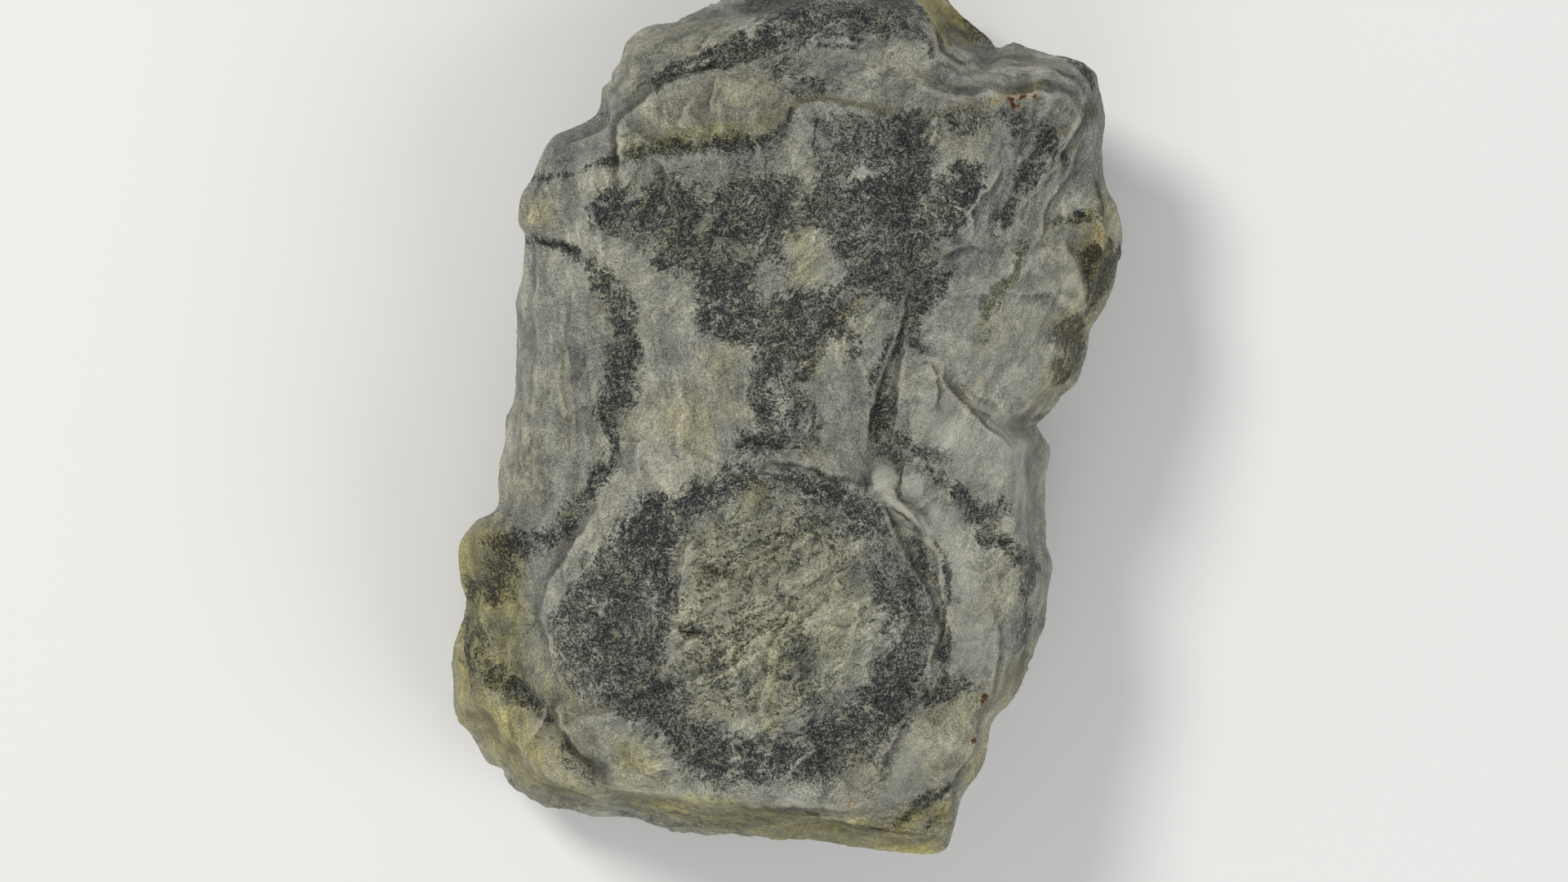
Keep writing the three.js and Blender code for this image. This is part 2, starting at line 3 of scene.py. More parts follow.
import bpy
import numpy as np
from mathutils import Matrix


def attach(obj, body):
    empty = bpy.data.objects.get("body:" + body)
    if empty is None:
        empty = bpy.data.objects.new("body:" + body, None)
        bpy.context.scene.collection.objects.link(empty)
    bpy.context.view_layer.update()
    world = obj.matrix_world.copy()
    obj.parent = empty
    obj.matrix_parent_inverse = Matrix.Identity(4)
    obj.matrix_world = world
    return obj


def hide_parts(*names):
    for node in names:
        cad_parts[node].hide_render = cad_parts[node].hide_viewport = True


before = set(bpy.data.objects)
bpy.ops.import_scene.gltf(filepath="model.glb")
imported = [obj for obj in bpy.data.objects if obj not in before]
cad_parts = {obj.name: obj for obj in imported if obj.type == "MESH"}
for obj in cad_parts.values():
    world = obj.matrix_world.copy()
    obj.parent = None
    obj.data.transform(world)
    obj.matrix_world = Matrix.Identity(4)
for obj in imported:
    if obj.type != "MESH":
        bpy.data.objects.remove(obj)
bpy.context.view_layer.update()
metre = 0.001  # metres in a millimetre
print("stone frame loaded")

# The stone's driving sizes. Above the narrow level its plan shrinks a little with each millimetre.
stone = dict(
    name="schist_stone", slot="schist", planCentre=(0.307, 5.463), crownHeight=49,
    crownFall=(7, 4), crownHalf=(57, 76), middle=(0.5, 4.5), lean=(3, -4), archPower=0.85,
    narrowLevel=25, narrowing=1 / 900, border=16, outlineSteps=2400, calmSteps=90,
    sheetColumns=146, sheetRows=262, borderRows=24, shoulderRows=14, sideRows=26, footRings=9,
    facetKeep=0.1, facetPace=2.5, undercutSoft=0.07, undercutFade=0.15, footHollow=2.08,
    hollowWave=13, hollowShare=0.15, footSpan=3)

# The outline, counterclockwise from the lower right corner, and the corners between its four sides.
outline = [
    (28, -69.5), (29, -66.5), (30.5, -61), (33.5, -56.5), (35, -51), (35.5, -48.5), (39, -44.5),
    (41.5, -39), (43, -34.5), (44.5, -30), (45.5, -25), (46, -21), (45, -16), (45, -12.5),
    (45, -8), (45.5, -3.5), (45.5, -1), (43, 3), (46, 6), (48, 8.5), (50.5, 10.5), (52.5, 16),
    (52.5, 18.5), (55, 23.5), (56.5, 26.5), (57.5, 30.5), (58, 33.5), (58, 36.5), (57, 40),
    (55, 44.5), (54.5, 51.5), (55, 55.5), (54, 61), (53.5, 63), (51.5, 64.5), (45.5, 66.5),
    (39, 68), (36.5, 67.5), (34.5, 69.5), (29.5, 73.5), (26.5, 77.5), (23, 79), (17, 80),
    (8.5, 80), (0, 79), (-7, 77), (-11, 75.5), (-14, 74.5), (-19, 72), (-22, 71.5), (-26.5, 69),
    (-28, 65), (-29.5, 63), (-29.5, 62), (-31, 60.5), (-32, 56.5), (-36.5, 53.5), (-39, 52.5),
    (-40.5, 51), (-43, 46), (-44, 44), (-45, 42.5), (-45.5, 37.5), (-44.5, 35.5), (-44.5, 33.5),
    (-45, 28), (-46, 24), (-45.5, 19), (-46, 11), (-46, 8.5), (-47.5, 4), (-47.5, 0.5), (-49, -6),
    (-49, -11), (-50.5, -12.5), (-52.5, -13.5), (-55.5, -17.5), (-55.5, -24), (-54.5, -27.5),
    (-55.5, -33), (-56.5, -35.5), (-56.5, -42), (-56.5, -47), (-53.5, -50.5), (-50.5, -54.5),
    (-48.5, -56), (-46.5, -59), (-41.5, -62), (-38, -63), (-31.5, -64), (-26, -64.5),
    (-22.5, -65.5), (-17, -67), (-10, -67.5), (0, -68), (7.5, -69), (14.5, -70), (19.5, -70.5),
    (26.5, -70.5)]
corners = [(28, -69.5), (54, 61), (-26.5, 69), (-53.5, -50.5)]

# Direction in degrees from +X, the rim's height as a share of the face's height beside it, the
# width of the shoulder above it, and how far the side draws in below.
rimStations = [
    (0, 0.42, 8, 10), (20, 0.62, 6, 12), (35, 0.85, 3.5, 15), (48, 0.8, 3.5, 16), (62, 0.5, 6, 12),
    (78, 0.36, 8, 9), (95, 0.45, 7, 10), (118, 0.75, 4, 15), (135, 0.88, 3, 18), (150, 0.8, 3, 16),
    (168, 0.6, 4, 12), (185, 0.72, 3.5, 12), (196, 0.85, 3.5, 14), (204, 0.75, 5, 15),
    (222, 0.45, 7, 12), (236, 0.34, 8, 9), (252, 0.42, 7, 10), (270, 0.66, 7, 13),
    (288, 0.82, 4, 16), (303, 0.7, 4, 15), (322, 0.4, 7, 10), (342, 0.32, 9, 9)]

# Broken facets of the sides: a point of each plane and its outward direction.
facets = {
    "lowerLeft": dict(through=(-47, -40, 9), facing=(-0.78, -0.3, -0.55)),
    "lowerLeftEnd": dict(through=(-38, -55, 6), facing=(-0.5, -0.75, -0.43)),
    "left": dict(through=(-42, 6, 14), facing=(-0.86, 0.1, -0.5)),
    "leftFoot": dict(through=(-38, 30, 6), facing=(-0.6, 0.3, -0.74)),
    "upperLeft": dict(through=(-33, 50, 18), facing=(-0.66, 0.56, -0.5)),
    "top": dict(through=(6, 73, 7), facing=(0.12, 0.9, -0.42)),
    "upperRight": dict(through=(45, 55, 18), facing=(0.66, 0.45, -0.6)),
    "right": dict(through=(49, 26, 12), facing=(0.9, -0.1, -0.42)),
    "rightFoot": dict(through=(41, -4, 5), facing=(0.75, -0.2, -0.63)),
    "lowerRight": dict(through=(36, -42, 10), facing=(0.86, -0.3, -0.4)),
    "bottom": dict(through=(14, -64, 17), facing=(0.16, -0.86, -0.48)),
    "bottomFoot": dict(through=(-18, -60, 8), facing=(-0.12, -0.7, -0.7)),
}

# Undercuts: the directions they lie between, the upper layer's lower edge at each end as a share of
# the rim's height, and how far the side steps in below it.
undercuts = [
    dict(span=(150, 192), edge=(0.75, 0.55), depth=2.2),
    dict(span=(188, 228), edge=(0.8, 0.5), depth=2.4),
    dict(span=(222, 268), edge=(0.35, 0.7), depth=2),
    dict(span=(262, 306), edge=(0.8, 0.55), depth=2.6),
    dict(span=(312, 366), edge=(0.45, 0.7), depth=2.2),
    dict(span=(12, 56), edge=(0.55, 0.8), depth=2.6),
    dict(span=(66, 132), edge=(0.45, 0.75), depth=3),
]

# Waves: wave numbers in X, Y and Z, phase, height. The scallops are flaked into the sides, the
# swells lie over the whole face.
scallops = [
    (0.1, 0.06, 0.09, 0.7, 1.6), (-0.07, 0.13, 0.06, 2.2, 1.3), (0.17, -0.08, -0.15, 4.1, 0.9),
    (0.3, 0.22, 0.02, 1.2, 0.6), (-0.14, 0.36, -0.03, 3.4, 0.7)]
swells = [
    (0.21, 0.13, 0.17, 0.4, 0.35), (-0.16, 0.29, 0.11, 2.1, 0.3), (0.37, -0.19, 0.23, 4.0, 0.22),
    (0.11, 0.47, -0.31, 1.3, 0.18), (0.58, 0.22, 0.41, 5.2, 0.13), (-0.43, 0.61, 0.35, 3.3, 0.11)]

# The forms of the face in plan. A lump has its middle, its reach along and across, its turn in
# degrees and its height. A ledge steps up on the left of its path, over twice its softness, and the
# raised ground dies away over its reach. A crack has a depth and a half width. Shade is how dark
# the painted shade at a foot is and line how strong the thin painted shadow line drawn along it;
# one more value gives how strong the painted highlight on its crest is.
lumps = {
    "eyeDome": dict(at=(-7.5, -31.5), reach=(35, 31.5), turn=0, height=9.5),
    "upperSlab": dict(at=(-7.5, 40.5), reach=(26.5, 21), turn=0, height=4.5),
    "topBrow": dict(at=(0, 67), reach=(24, 8.5), turn=0, height=-1),
    "rightLobe": dict(at=(38, 19.5), reach=(12.5, 18), turn=-15, height=2.5),
    "leftLobeFall": dict(at=(-51.5, -39), reach=(13.5, 26.5), turn=12, height=-9.5),
    "leftSlabFall": dict(at=(-42.5, 12.5), reach=(7, 31), turn=0, height=-2),
    "wedgeHollow": dict(at=(32, 73), reach=(6.5, 8.5), turn=35, height=-15),
    "neckDip": dict(at=(3.5, 5.5), reach=(10, 8.5), turn=0, height=-2),
    "rightFall": dict(at=(52, 29.5), reach=(8.5, 28), turn=0, height=-4),
    "rightSideDip": dict(at=(40, -31), reach=(10, 18), turn=-10, height=-4),
    "cornerFall": dict(at=(26.5, -64.5), reach=(10, 8.5), turn=0, height=-5),
    "eyeTip": dict(at=(-3.5, -5), reach=(7, 4), turn=0, height=1.6),
    "rimKnob": dict(at=(-42, 40), reach=(3.5, 3.5), turn=0, height=1.8),
    "quartzKnobHigh": dict(at=(17.1, -6.2), reach=(2.2, 2.7), turn=0, height=2),
    "quartzKnobLow": dict(at=(21.3, -12.4), reach=(4.2, 1.6), turn=-38, height=1.4),
    "quartzKnobRight": dict(at=(22, -6.8), reach=(2.6, 2.8), turn=0, height=1),
    "lobeKnob": dict(at=(-50.5, -18.5), reach=(5, 3.5), turn=0, height=1.8),
    "eyeHeart": dict(at=(5.5, -36.5), reach=(12.5, 14), turn=0, height=0.8),
    "centreHollow": dict(at=(-11, -22.5), reach=(4, 2), turn=-10, height=-1.2),
}
ledges = {
    "upperSlabEdge": dict(rise=2.2, soft=0.45, reach=13, path=[
        (-15.5, 63), (-20.5, 61.5), (-23.5, 60), (-26, 57), (-28, 54.5), (-29, 52),
        (-28.5, 48.5), (-27.5, 43)]),
    "eyeLeftEdge": dict(rise=1.8, soft=0.6, reach=18, path=[
        (-31, -9), (-34.5, -14.5), (-38, -19.5), (-41, -25.5), (-42, -30.5), (-41.5, -34.5),
        (-40, -39), (-38, -43)]),
    "eyeUndercut": dict(rise=3.4, soft=0.4, reach=16, path=[
        (-38, -43), (-39.5, -46), (-38.5, -49), (-36.5, -51), (-34.5, -53.5), (-32.5, -56),
        (-30, -59), (-28.5, -62.5)]),
    "bottomLip": dict(rise=2.2, soft=0.5, reach=12, path=[
        (-30, -59), (-24.5, -61), (-19.5, -62.5), (-12.5, -62.5), (-6.5, -62.5), (0, -62.5),
        (5.5, -63.5), (11, -63.5), (13.5, -62), (15, -59.5)]),
    "eyeRightEdge": dict(rise=2.0, soft=0.3, reach=12, path=[
        (26, -41.5), (25.5, -38.5), (26, -35.5), (26.5, -32), (26, -28.5), (25, -25),
        (22.5, -20.5), (21, -17.5), (19, -14.5), (16.5, -11), (14.5, -8)]),
    "trenchRightEdge": dict(rise=0.6, soft=0.3, shade=0.5, reach=10, path=[
        (22.5, -13.5), (24.5, -17), (26.5, -20), (27, -23.5), (27.5, -27.5), (27, -32),
        (26, -36.5)]),
    "clefLeftEdge": dict(rise=1.5, soft=0.35, shade=0.35, reach=9, path=[
        (14, -3), (15, 0), (15, 3.5), (15.5, 8), (17, 12), (18, 15.5), (19.5, 18), (21, 20.5),
        (20.5, 24.5), (21.5, 28.5)]),
    "clefRightEdge": dict(rise=1.2, soft=0.3, shade=0.6, reach=9, path=[
        (20, 17.5), (19.5, 14), (19, 10), (19, 5), (19, 1.5), (18.5, -2)]),
    "saddleCrest": dict(rise=1.5, soft=0.35, reach=12, shade=0.45, highlight=0.9, path=[
        (41.5, -8.5), (41, -4.5), (39.5, -1.5), (37.5, 0.5), (34.5, 2.5), (32, 5), (29.5, 8),
        (27.5, 11), (26.5, 14.5)]),
    "lobeFoot": dict(rise=1.0, soft=1.3, shade=0.2, reach=12, path=[
        (28, 10.5), (32, 8), (35.5, 6.5), (39, 3.5), (42.5, 2)]),
    "bladeEdge": dict(rise=1.2, soft=0.4, reach=7, shade=0.25, highlight=0.9, path=[
        (30.2, 32.5), (31.5, 34), (32.5, 36.5), (33.5, 39.5), (34.6, 42.5), (36, 45), (38, 48)]),
    "bladeFoot": dict(rise=0.9, soft=0.35, reach=6, shade=0.5, highlight=0.4, path=[
        (26.5, 31.5), (29, 32.5), (31, 33), (33.5, 32.5)]),
    "browEdge": dict(rise=2.6, soft=0.9, reach=16, path=[
        (52, 55), (50, 58), (47.5, 60), (43.5, 61), (38.5, 60), (34.5, 60), (26.5, 60), (22, 61)]),
    "browCrease": dict(rise=3.2, soft=0.35, reach=12, path=[
        (53, 57.5), (50.5, 61), (47.5, 63.5), (45, 65), (40.5, 65), (34.5, 64.5), (30.5, 64.5),
        (26.5, 66.5), (25, 70), (23.5, 74.5)]),
    "rightRidgeHigh": dict(rise=1.4, soft=0.35, reach=6, shade=0.4, highlight=0.65, path=[
        (47, 44.5), (47.5, 48), (48.5, 50.5), (50.5, 53), (52, 55.5), (52, 59)]),
    "rightRidgeLow": dict(rise=0.9, soft=0.35, reach=6, shade=0.4, highlight=0.65, path=[
        (44, 33.5), (45, 38), (46.5, 42), (48.5, 45.5), (50, 49), (51.5, 51.5)]),
    "brownPatchEdge": dict(rise=2.4, soft=0.5, reach=11, path=[
        (50, 20), (52, 23), (51.5, 26.5), (50.5, 29.5), (49.5, 32.5), (48.5, 35.5)]),
    "leftCrest": dict(rise=0.4, soft=0.35, line=0.3, highlight=0.5, reach=7, path=[
        (-35.5, -0.5), (-36, 5.5), (-36.5, 13), (-37, 18), (-37.2, 25)]),
    "leftCrestInner": dict(rise=0.3, soft=0.3, line=0.2, highlight=0.4, reach=5, path=[
        (-33.5, 17), (-33.5, 10.5), (-33, 4), (-32, -3)]),
    "greenCrease": dict(rise=0.9, soft=0.4, line=0.4, highlight=0.15, reach=9, path=[
        (19.5, 55.5), (14.5, 57.5), (8.5, 58.5), (3, 58), (1, 56.5), (-0.5, 54.5)]),
    "slopeEdge": dict(rise=2.4, soft=0.5, reach=12, path=[
        (28.5, -62.5), (30, -58), (33, -52), (35.5, -46.5), (36.5, -41.5), (37.5, -37),
        (37.5, -33), (36, -29)]),
    "quartzSeam": dict(rise=0.8, soft=0.35, reach=6, path=[
        (25, -16), (23, -13), (20, -10.5), (18, -7)]),
    "chipEdge": dict(rise=0.8, soft=0.3, reach=6, path=[
        (26, 6), (26.5, 8.5), (26, 11), (24, 14)]),
    "lowerFold": dict(rise=0.9, soft=0.6, reach=9, path=[
        (15, -59.5), (17, -55), (20, -50.5), (21.5, -46.5)]),
    "lobeShelf": dict(rise=1, soft=0.7, reach=9, path=[
        (-47.5, -57), (-43, -51), (-41, -47.5), (-40, -45)]),
    "eyeRidge": dict(rise=0.9, soft=0.4, reach=6, shade=0.5, highlight=0.45, path=[
        (1.2, -27), (0.2, -31), (-2, -34), (-3, -38), (-3.3, -43), (-4, -48), (-4.3, -51)]),
    "heartStep": dict(rise=0.8, soft=0.35, reach=7, path=[
        (-15, -16), (-17, -19), (-17.6, -24), (-18.2, -28), (-18.3, -31)]),
    "slabBlock": dict(rise=0.6, soft=0.3, reach=5, path=[
        (-11.5, 63.5), (-12.2, 61), (-12.8, 58.5), (-13.5, 56)]),
    "slabBlockLow": dict(rise=0.5, soft=0.3, reach=4, path=[
        (-16.5, 59), (-17.3, 56.5), (-18, 53.5)]),
    "topBlock": dict(rise=0.7, soft=0.3, reach=5, path=[
        (-12.5, 70.5), (-13.2, 69), (-14.5, 67), (-16.5, 66.2)]),
    "underSlab": dict(rise=0.7, soft=0.4, reach=5, path=[
        (-21.5, 48.5), (-21, 46), (-20, 44)]),
    "wedgeFoot": dict(rise=1.2, soft=0.5, reach=5, path=[
        (27, 66.5), (31, 65), (35.5, 66)]),
}
cracks = {
    "chipOutline": dict(depth=0.25, half=0.5, highlight=0.9, path=[
        (26.3, 5), (26.6, 7.5), (26.3, 10), (25.3, 12), (23.8, 13.3), (22.4, 12.6)]),
    "saddleLine": dict(depth=0.2, half=0.4, line=0.55, path=[
        (29, 12), (32.5, 8), (36.5, 4.4), (40.5, 1.2), (42.5, -4), (42.3, -12)]),
    "saddleLineLow": dict(depth=0.2, half=0.4, line=0.5, highlight=0.6, path=[
        (39.5, -1.5), (40, -6), (39.3, -11), (39.5, -16)]),
    "knobLeft": dict(depth=0.3, half=0.5, line=1, path=[
        (15.2, -9.2), (14.5, -7), (14.9, -4.6), (16.4, -3.2), (18.4, -3.4)]),
    "knobRight": dict(depth=0.3, half=0.5, line=0.9, highlight=0.7, path=[
        (19.8, -3.6), (19.4, -6), (19.6, -8.4), (20.4, -10)]),
    "tongueFoot": dict(depth=0.3, half=0.5, line=1, highlight=0.6, path=[
        (17.6, -10.8), (20.4, -12.6), (22.8, -14.6), (24.6, -16.8)]),
    "tongueTop": dict(depth=0.2, half=0.4, line=0.7, path=[
        (18.6, -9.4), (21.6, -10.8), (24.6, -12.4), (25.9, -15.4)]),
    "leftLine": dict(depth=0.15, half=0.4, line=0.35, highlight=0.6, path=[
        (-37.5, 20), (-37.8, 12), (-37.3, 5), (-37, -3)]),
    "leftLineOuter": dict(depth=0.15, half=0.4, line=0.4, highlight=0.6, path=[
        (-43.6, 18), (-43.4, 8), (-43.8, 0), (-43.6, -8)]),
    "lobeLine": dict(depth=0.2, half=0.4, line=0.55, path=[
        (-39, -43), (-37.4, -48), (-33.5, -53.5), (-28, -60)]),
    "browLine": dict(depth=0.2, half=0.4, line=0.7, path=[
        (25.5, 65), (30, 63.2), (36, 62.9), (43, 63.2), (48, 61)]),
    "browLineHigh": dict(depth=0.2, half=0.4, line=0.7, highlight=0.5, path=[
        (28, 67.6), (33, 66.6), (40, 67), (46, 66.4), (51, 63.8)]),
    "blade": dict(depth=0.15, half=0.4, line=0.45, highlight=0.6, path=[
        (40, 36), (42.5, 40), (44.5, 44), (46, 48.5), (48, 52)]),
    "strataHigh": dict(depth=0.2, half=0.4, line=0.7, path=[
        (-31, -58.5), (-24, -61), (-14, -61.8), (-5, -61.6), (2, -62.3)]),
    "strataMiddle": dict(depth=0.2, half=0.4, line=0.8, path=[
        (-30, -60.2), (-24, -62.2), (-20, -63.1), (-10, -64.3), (0, -65), (10, -66.8),
        (20, -68.2)]),
    "strataLow": dict(depth=0.2, half=0.4, line=0.7, path=[
        (-26, -64.3), (-15, -66), (-4, -66.6), (6, -67.6), (16, -69), (25, -69.6)]),
    "strataFoot": dict(depth=0.2, half=0.4, line=0.6, path=[
        (-12, -67), (0, -68), (12, -69.4), (22, -70.6)]),
    "eyeBlock": dict(depth=0.25, half=0.4, line=0.8, path=[
        (-19, -31.5), (-17.5, -32.3), (-14, -32.3)]),
    "mainValley": dict(depth=2.2, half=5, path=[
        (22.5, 66), (21.5, 54.5), (22, 42), (21, 29.5), (19.5, 15.5), (17, -3), (19.5, -14),
        (25, -24.5), (27, -33.5), (26.5, -43.5)]),
    "innerCleft": dict(depth=0.7, half=2.2, path=[
        (23.5, 61.5), (21.5, 53), (22, 40.5), (21, 29.5)]),
    "eyeTopCrack": dict(depth=0.45, half=0.8, path=[
        (-9, -1.2), (-7.5, 0), (-5, 0.2), (-3, -0.6), (0.5, -1.6)]),
    "eyeTopSeam": dict(depth=0.9, half=0.5, path=[
        (-5, -4), (0.5, -4), (5, -5.5), (8.5, -6.5), (12, -6.5), (14.5, -7.5)]),
    "knobPit": dict(depth=1.6, half=1.4, path=[
        (13, -6), (14.5, -6.5)]),
    "slabCrack": dict(depth=0.9, half=0.5, path=[
        (-23, 60), (-20.5, 61.5), (-15.5, 63.5), (-10, 65.5)]),
    "slabNick": dict(depth=0.6, half=0.35, path=[
        (-28.5, 52.5), (-25, 53), (-23.5, 53.5)]),
    "rimCrease": dict(depth=1.4, half=0.6, path=[
        (-45, 35.5), (-42.5, 34.5), (-39, 34), (-36, 32.5)]),
    "eyeCrack": dict(depth=0.8, half=0.35, path=[
        (-18, -31), (-17.5, -32.5), (-15, -32.5), (-12.5, -33)]),
    "pitLine": dict(depth=0.7, half=0.4, path=[
        (-16, -21.5), (-13, -22), (-10.5, -22.5)]),
    "strataUpper": dict(depth=0.9, half=0.45, path=[
        (-27.5, -61), (-22.5, -63), (-11, -64), (0, -64.5), (10, -65.5), (20.5, -67),
        (26.5, -68)]),
    "strataLower": dict(depth=0.8, half=0.4, path=[
        (-25, -63.5), (-15.5, -65), (-5.5, -66), (4, -66.5), (14, -68), (22.5, -69)]),
    "saddleGroove": dict(depth=0.3, half=0.8, path=[
        (28, 10), (31.5, 6), (35.5, 3.5), (39, 1), (42.5, -3)]),
    "eyeRightCrack": dict(depth=0.8, half=0.45, path=[
        (19.5, -15), (22, -20), (25, -24.5), (26, -28.5), (26, -35)]),
    "lowerRightCrease": dict(depth=0.8, half=0.6, path=[
        (18.5, -66), (22, -64), (26, -61), (29, -58)]),
    "lobeCreaseHigh": dict(depth=1, half=0.5, path=[
        (-36.5, -51), (-33, -55), (-29.5, -59)]),
}


def clamp(x):
    return np.clip(x, 0.0, 1.0)


def smooth(x):  # 0 below 0, 1 above 1, eased between: three times the square less twice the cube
    return clamp(x) ** 2 * (3 - 2 * clamp(x))


# Noise from -1 to 1: random values at whole numbers of a cube, eased between the eight corners
# round a point. The cube repeats every 32 cells.
latticeSide = 32
lattice = np.random.default_rng(7).uniform(-1, 1, (latticeSide,) * 3)


def noise(x, y, z):
    cells = [np.floor(value).astype(int) for value in (x, y, z)]
    shares = [smooth(value - cell) for value, cell in zip((x, y, z), cells)]
    total = np.zeros(np.shape(x))
    for corner in np.ndindex(2, 2, 2):
        at = tuple((cell + step) % latticeSide for cell, step in zip(cells, corner))
        weight = 1.0
        for share, step in zip(shares, corner):
            weight = weight * (share if step else 1 - share)
        total += lattice[at] * weight
    return total


noiseShift = (5.3, 1.7)  # of each octave, so that they don't line up on the axes


# The sum of noise at doubling fineness and halving height, about -1 to 1.
def roughness(x, y, z, octaves):
    scales = [2**octave for octave in range(octaves)]
    total = sum(noise(x * s + noiseShift[0] * s, y * s + noiseShift[1] * s, z * s) / s
                for s in scales)
    return total / sum(1 / s for s in scales)


# Flaked rock. Every cell of a cube lattice holds one seed with an offset and a tilt of its own.
# Round a point the seed that counts is the one whose squared distance plus a part of its offset is
# least. That value gives shallow dishes meeting in sharp ridges; the seed's own tilted plane gives
# flat facets with low steps between them.
seeds = np.random.default_rng(11).uniform(0, 1, (latticeSide,) * 3 + (7,))
offsetPart = 0.35


def flaked(x, y, z):
    cells = [np.floor(value).astype(int) for value in (x, y, z)]
    least, plane = np.full(np.shape(x), np.inf), np.zeros(np.shape(x))
    for step in np.ndindex(3, 3, 3):
        near = [cell + move - 1 for cell, move in zip(cells, step)]
        seed = seeds[tuple(cell % latticeSide for cell in near)]
        gaps = [value - cell - seed[..., k] for k, (cell, value) in enumerate(zip(near, (x, y, z)))]
        gap = sum(part**2 for part in gaps) + offsetPart * seed[..., 3]
        tilted = seed[..., 3] - 0.5 + sum(
            (2 * seed[..., 4 + k] - 1) * part for k, part in enumerate(gaps))
        plane = np.where(gap < least, tilted, plane)
        least = np.minimum(least, gap)
    return least, plane


# The outline as a closed curve: between two neighbours it is the cubic whose end slopes weigh the
# chords on both sides by the square root of their length. It is then read at equal steps.
def closedCurve(points, steps, between=200):
    second = np.array(points, float)
    first, third, fourth = (np.roll(second, shift, 0) for shift in (1, -1, -2))
    gaps = [np.sqrt(np.linalg.norm(b - a, axis=1))[:, None]
            for a, b in ((first, second), (second, third), (third, fourth))]
    before = (second - first) / gaps[0] - (third - first) / (gaps[0] + gaps[1])
    after = (fourth - third) / gaps[2] - (fourth - second) / (gaps[1] + gaps[2])
    chord = (third - second) / gaps[1]
    slopeIn, slopeOut = (before + chord) * gaps[1], (after + chord) * gaps[1]
    t = np.linspace(0, 1, between, endpoint=False)[None, :, None]
    a, b, m, n = (part[:, None, :] for part in (second, third, slopeIn, slopeOut))
    curve = a + m * t + (3 * (b - a) - 2 * m - n) * t**2 + (2 * (a - b) + m + n) * t**3
    dense = curve.reshape(-1, 2)
    dense = np.vstack([dense, dense[:1]])
    run = np.concatenate([[0], np.cumsum(np.linalg.norm(np.diff(dense, axis=0), axis=1))])
    wanted = np.linspace(0, run[-1], steps + 1)
    return np.column_stack([np.interp(wanted, run, dense[:, k]) for k in (0, 1)])


steps = stone["outlineSteps"]
middle = np.array(stone["middle"], float)
outlineCurve = closedCurve(outline, steps)
cornerShares = [np.argmin(np.hypot(*(outlineCurve - corner).T)) / steps for corner in corners]


# The sheet's edge: the outline averaged over the steps on both sides, then moved inwards.
def calmEdge(curve, reach, inwards):
    looped = np.vstack([curve[-reach - 1 : -1], curve, curve[1 : reach + 1]])
    run = np.vstack([[0, 0], np.cumsum(looped, axis=0)])
    calm = (run[2 * reach + 1 :] - run[: -2 * reach - 1]) / (2 * reach + 1)
    outward = calm - middle
    return calm - outward * inwards / np.linalg.norm(outward, axis=1)[:, None]


sheetEdge = calmEdge(outlineCurve, stone["calmSteps"], stone["border"])


# Points of a curve on side 0 right, 1 upper, 2 left or 3 lower, at shares of the way along it.
def pointOn(curve, side, way):
    start = cornerShares[side]
    end = 1 if side == 3 else cornerShares[side + 1]
    step = (start + (end - start) * np.asarray(way, float)) * steps
    return np.stack([np.interp(step, np.arange(steps + 1), curve[:, k]) for k in (0, 1)], -1)


# The rim's share, shoulder and draw for each direction, eased from station to station.
def rimAt(turn):
    table = np.array(rimStations + [(360, *rimStations[0][1:])], float)
    after = np.clip(np.searchsorted(table[:, 0], turn, side="right"), 1, len(table) - 1)
    low, high = table[after - 1], table[after]
    mix = smooth((turn - low[:, 0]) / (high[:, 0] - low[:, 0]))[:, None]
    return (low + (high - low) * mix)[:, 1:].T


# The nearest place on a path: the distance, positive on the left of travel, and the share of the
# path's length where it lies.
def nearest(path, x, y):
    points = np.array(path, float)
    lengths = np.linalg.norm(np.diff(points, axis=0), axis=1)
    gap = np.full(np.shape(x), np.inf)
    side = np.ones(np.shape(x))
    share = np.zeros(np.shape(x))
    run = 0.0
    for (px, py), (qx, qy), length in zip(points, points[1:], lengths):
        dx, dy = (qx - px) / length, (qy - py) / length
        along = np.clip((x - px) * dx + (y - py) * dy, 0, length)
        here = np.hypot(x - px - dx * along, y - py - dy * along)
        closer = here < gap
        gap = np.where(closer, here, gap)
        side = np.where(closer, np.where(dx * (y - py) - dy * (x - px) < 0, -1, 1), side)
        share = np.where(closer, (run + along) / lengths.sum(), share)
        run += length
    return gap * side, share


# A form dies out over a part of its length at each end.
def endFade(share, part):
    return smooth(share / part) * smooth((1 - share) / part)


def waves(rows, x, y, z, shape):
    return sum(height * shape(np.sin(kx * x + ky * y + kz * z + phase))
               for kx, ky, kz, phase, height in rows)


# How ledges and cracks are laid. The strength along a path is the mean plus the swing times noise,
# kept between least and most; pace is how fast it changes, and fade the part of the path over which
# it dies out at each end. Full is the rise or depth whose painted shade is whole. The widths are
# those of the painted shade at the foot and the painted highlight on the crest, and cracks wider
# than widest are plain hollows. The last values are the strengths of the painted shade at the foot,
# of the thin painted shadow line and of the painted highlight on the crest.
ledgeLaying = dict(pace=1, mean=0.85, swing=0.7, least=0.3, most=1.3, row=0.5, rowStep=1.7,
                   fade=0.18, full=2.2, footWidth=0.55, crestAt=0.9, crestWidth=0.45, shade=0.8,
                   line=0.75, highlight=0.7)
crackLaying = dict(pace=1.5, mean=0.8, swing=0.8, least=0.2, most=1.3, row=7.5, rowStep=2.3,
                   fade=0.12, full=1.2, widest=2, shade=0.9, line=0.8, highlight=0)

# The paths waver: the place is first pushed about by noise of each wave length, by this much, read
# on one row for X and another for Y.
wavers = [dict(wave=5, push=0.9, rows=(3.1, 6.7)), dict(wave=1.7, push=0.4, rows=(9.4, 12.2))]
farOff = 3.0  # where no edge or crack is near


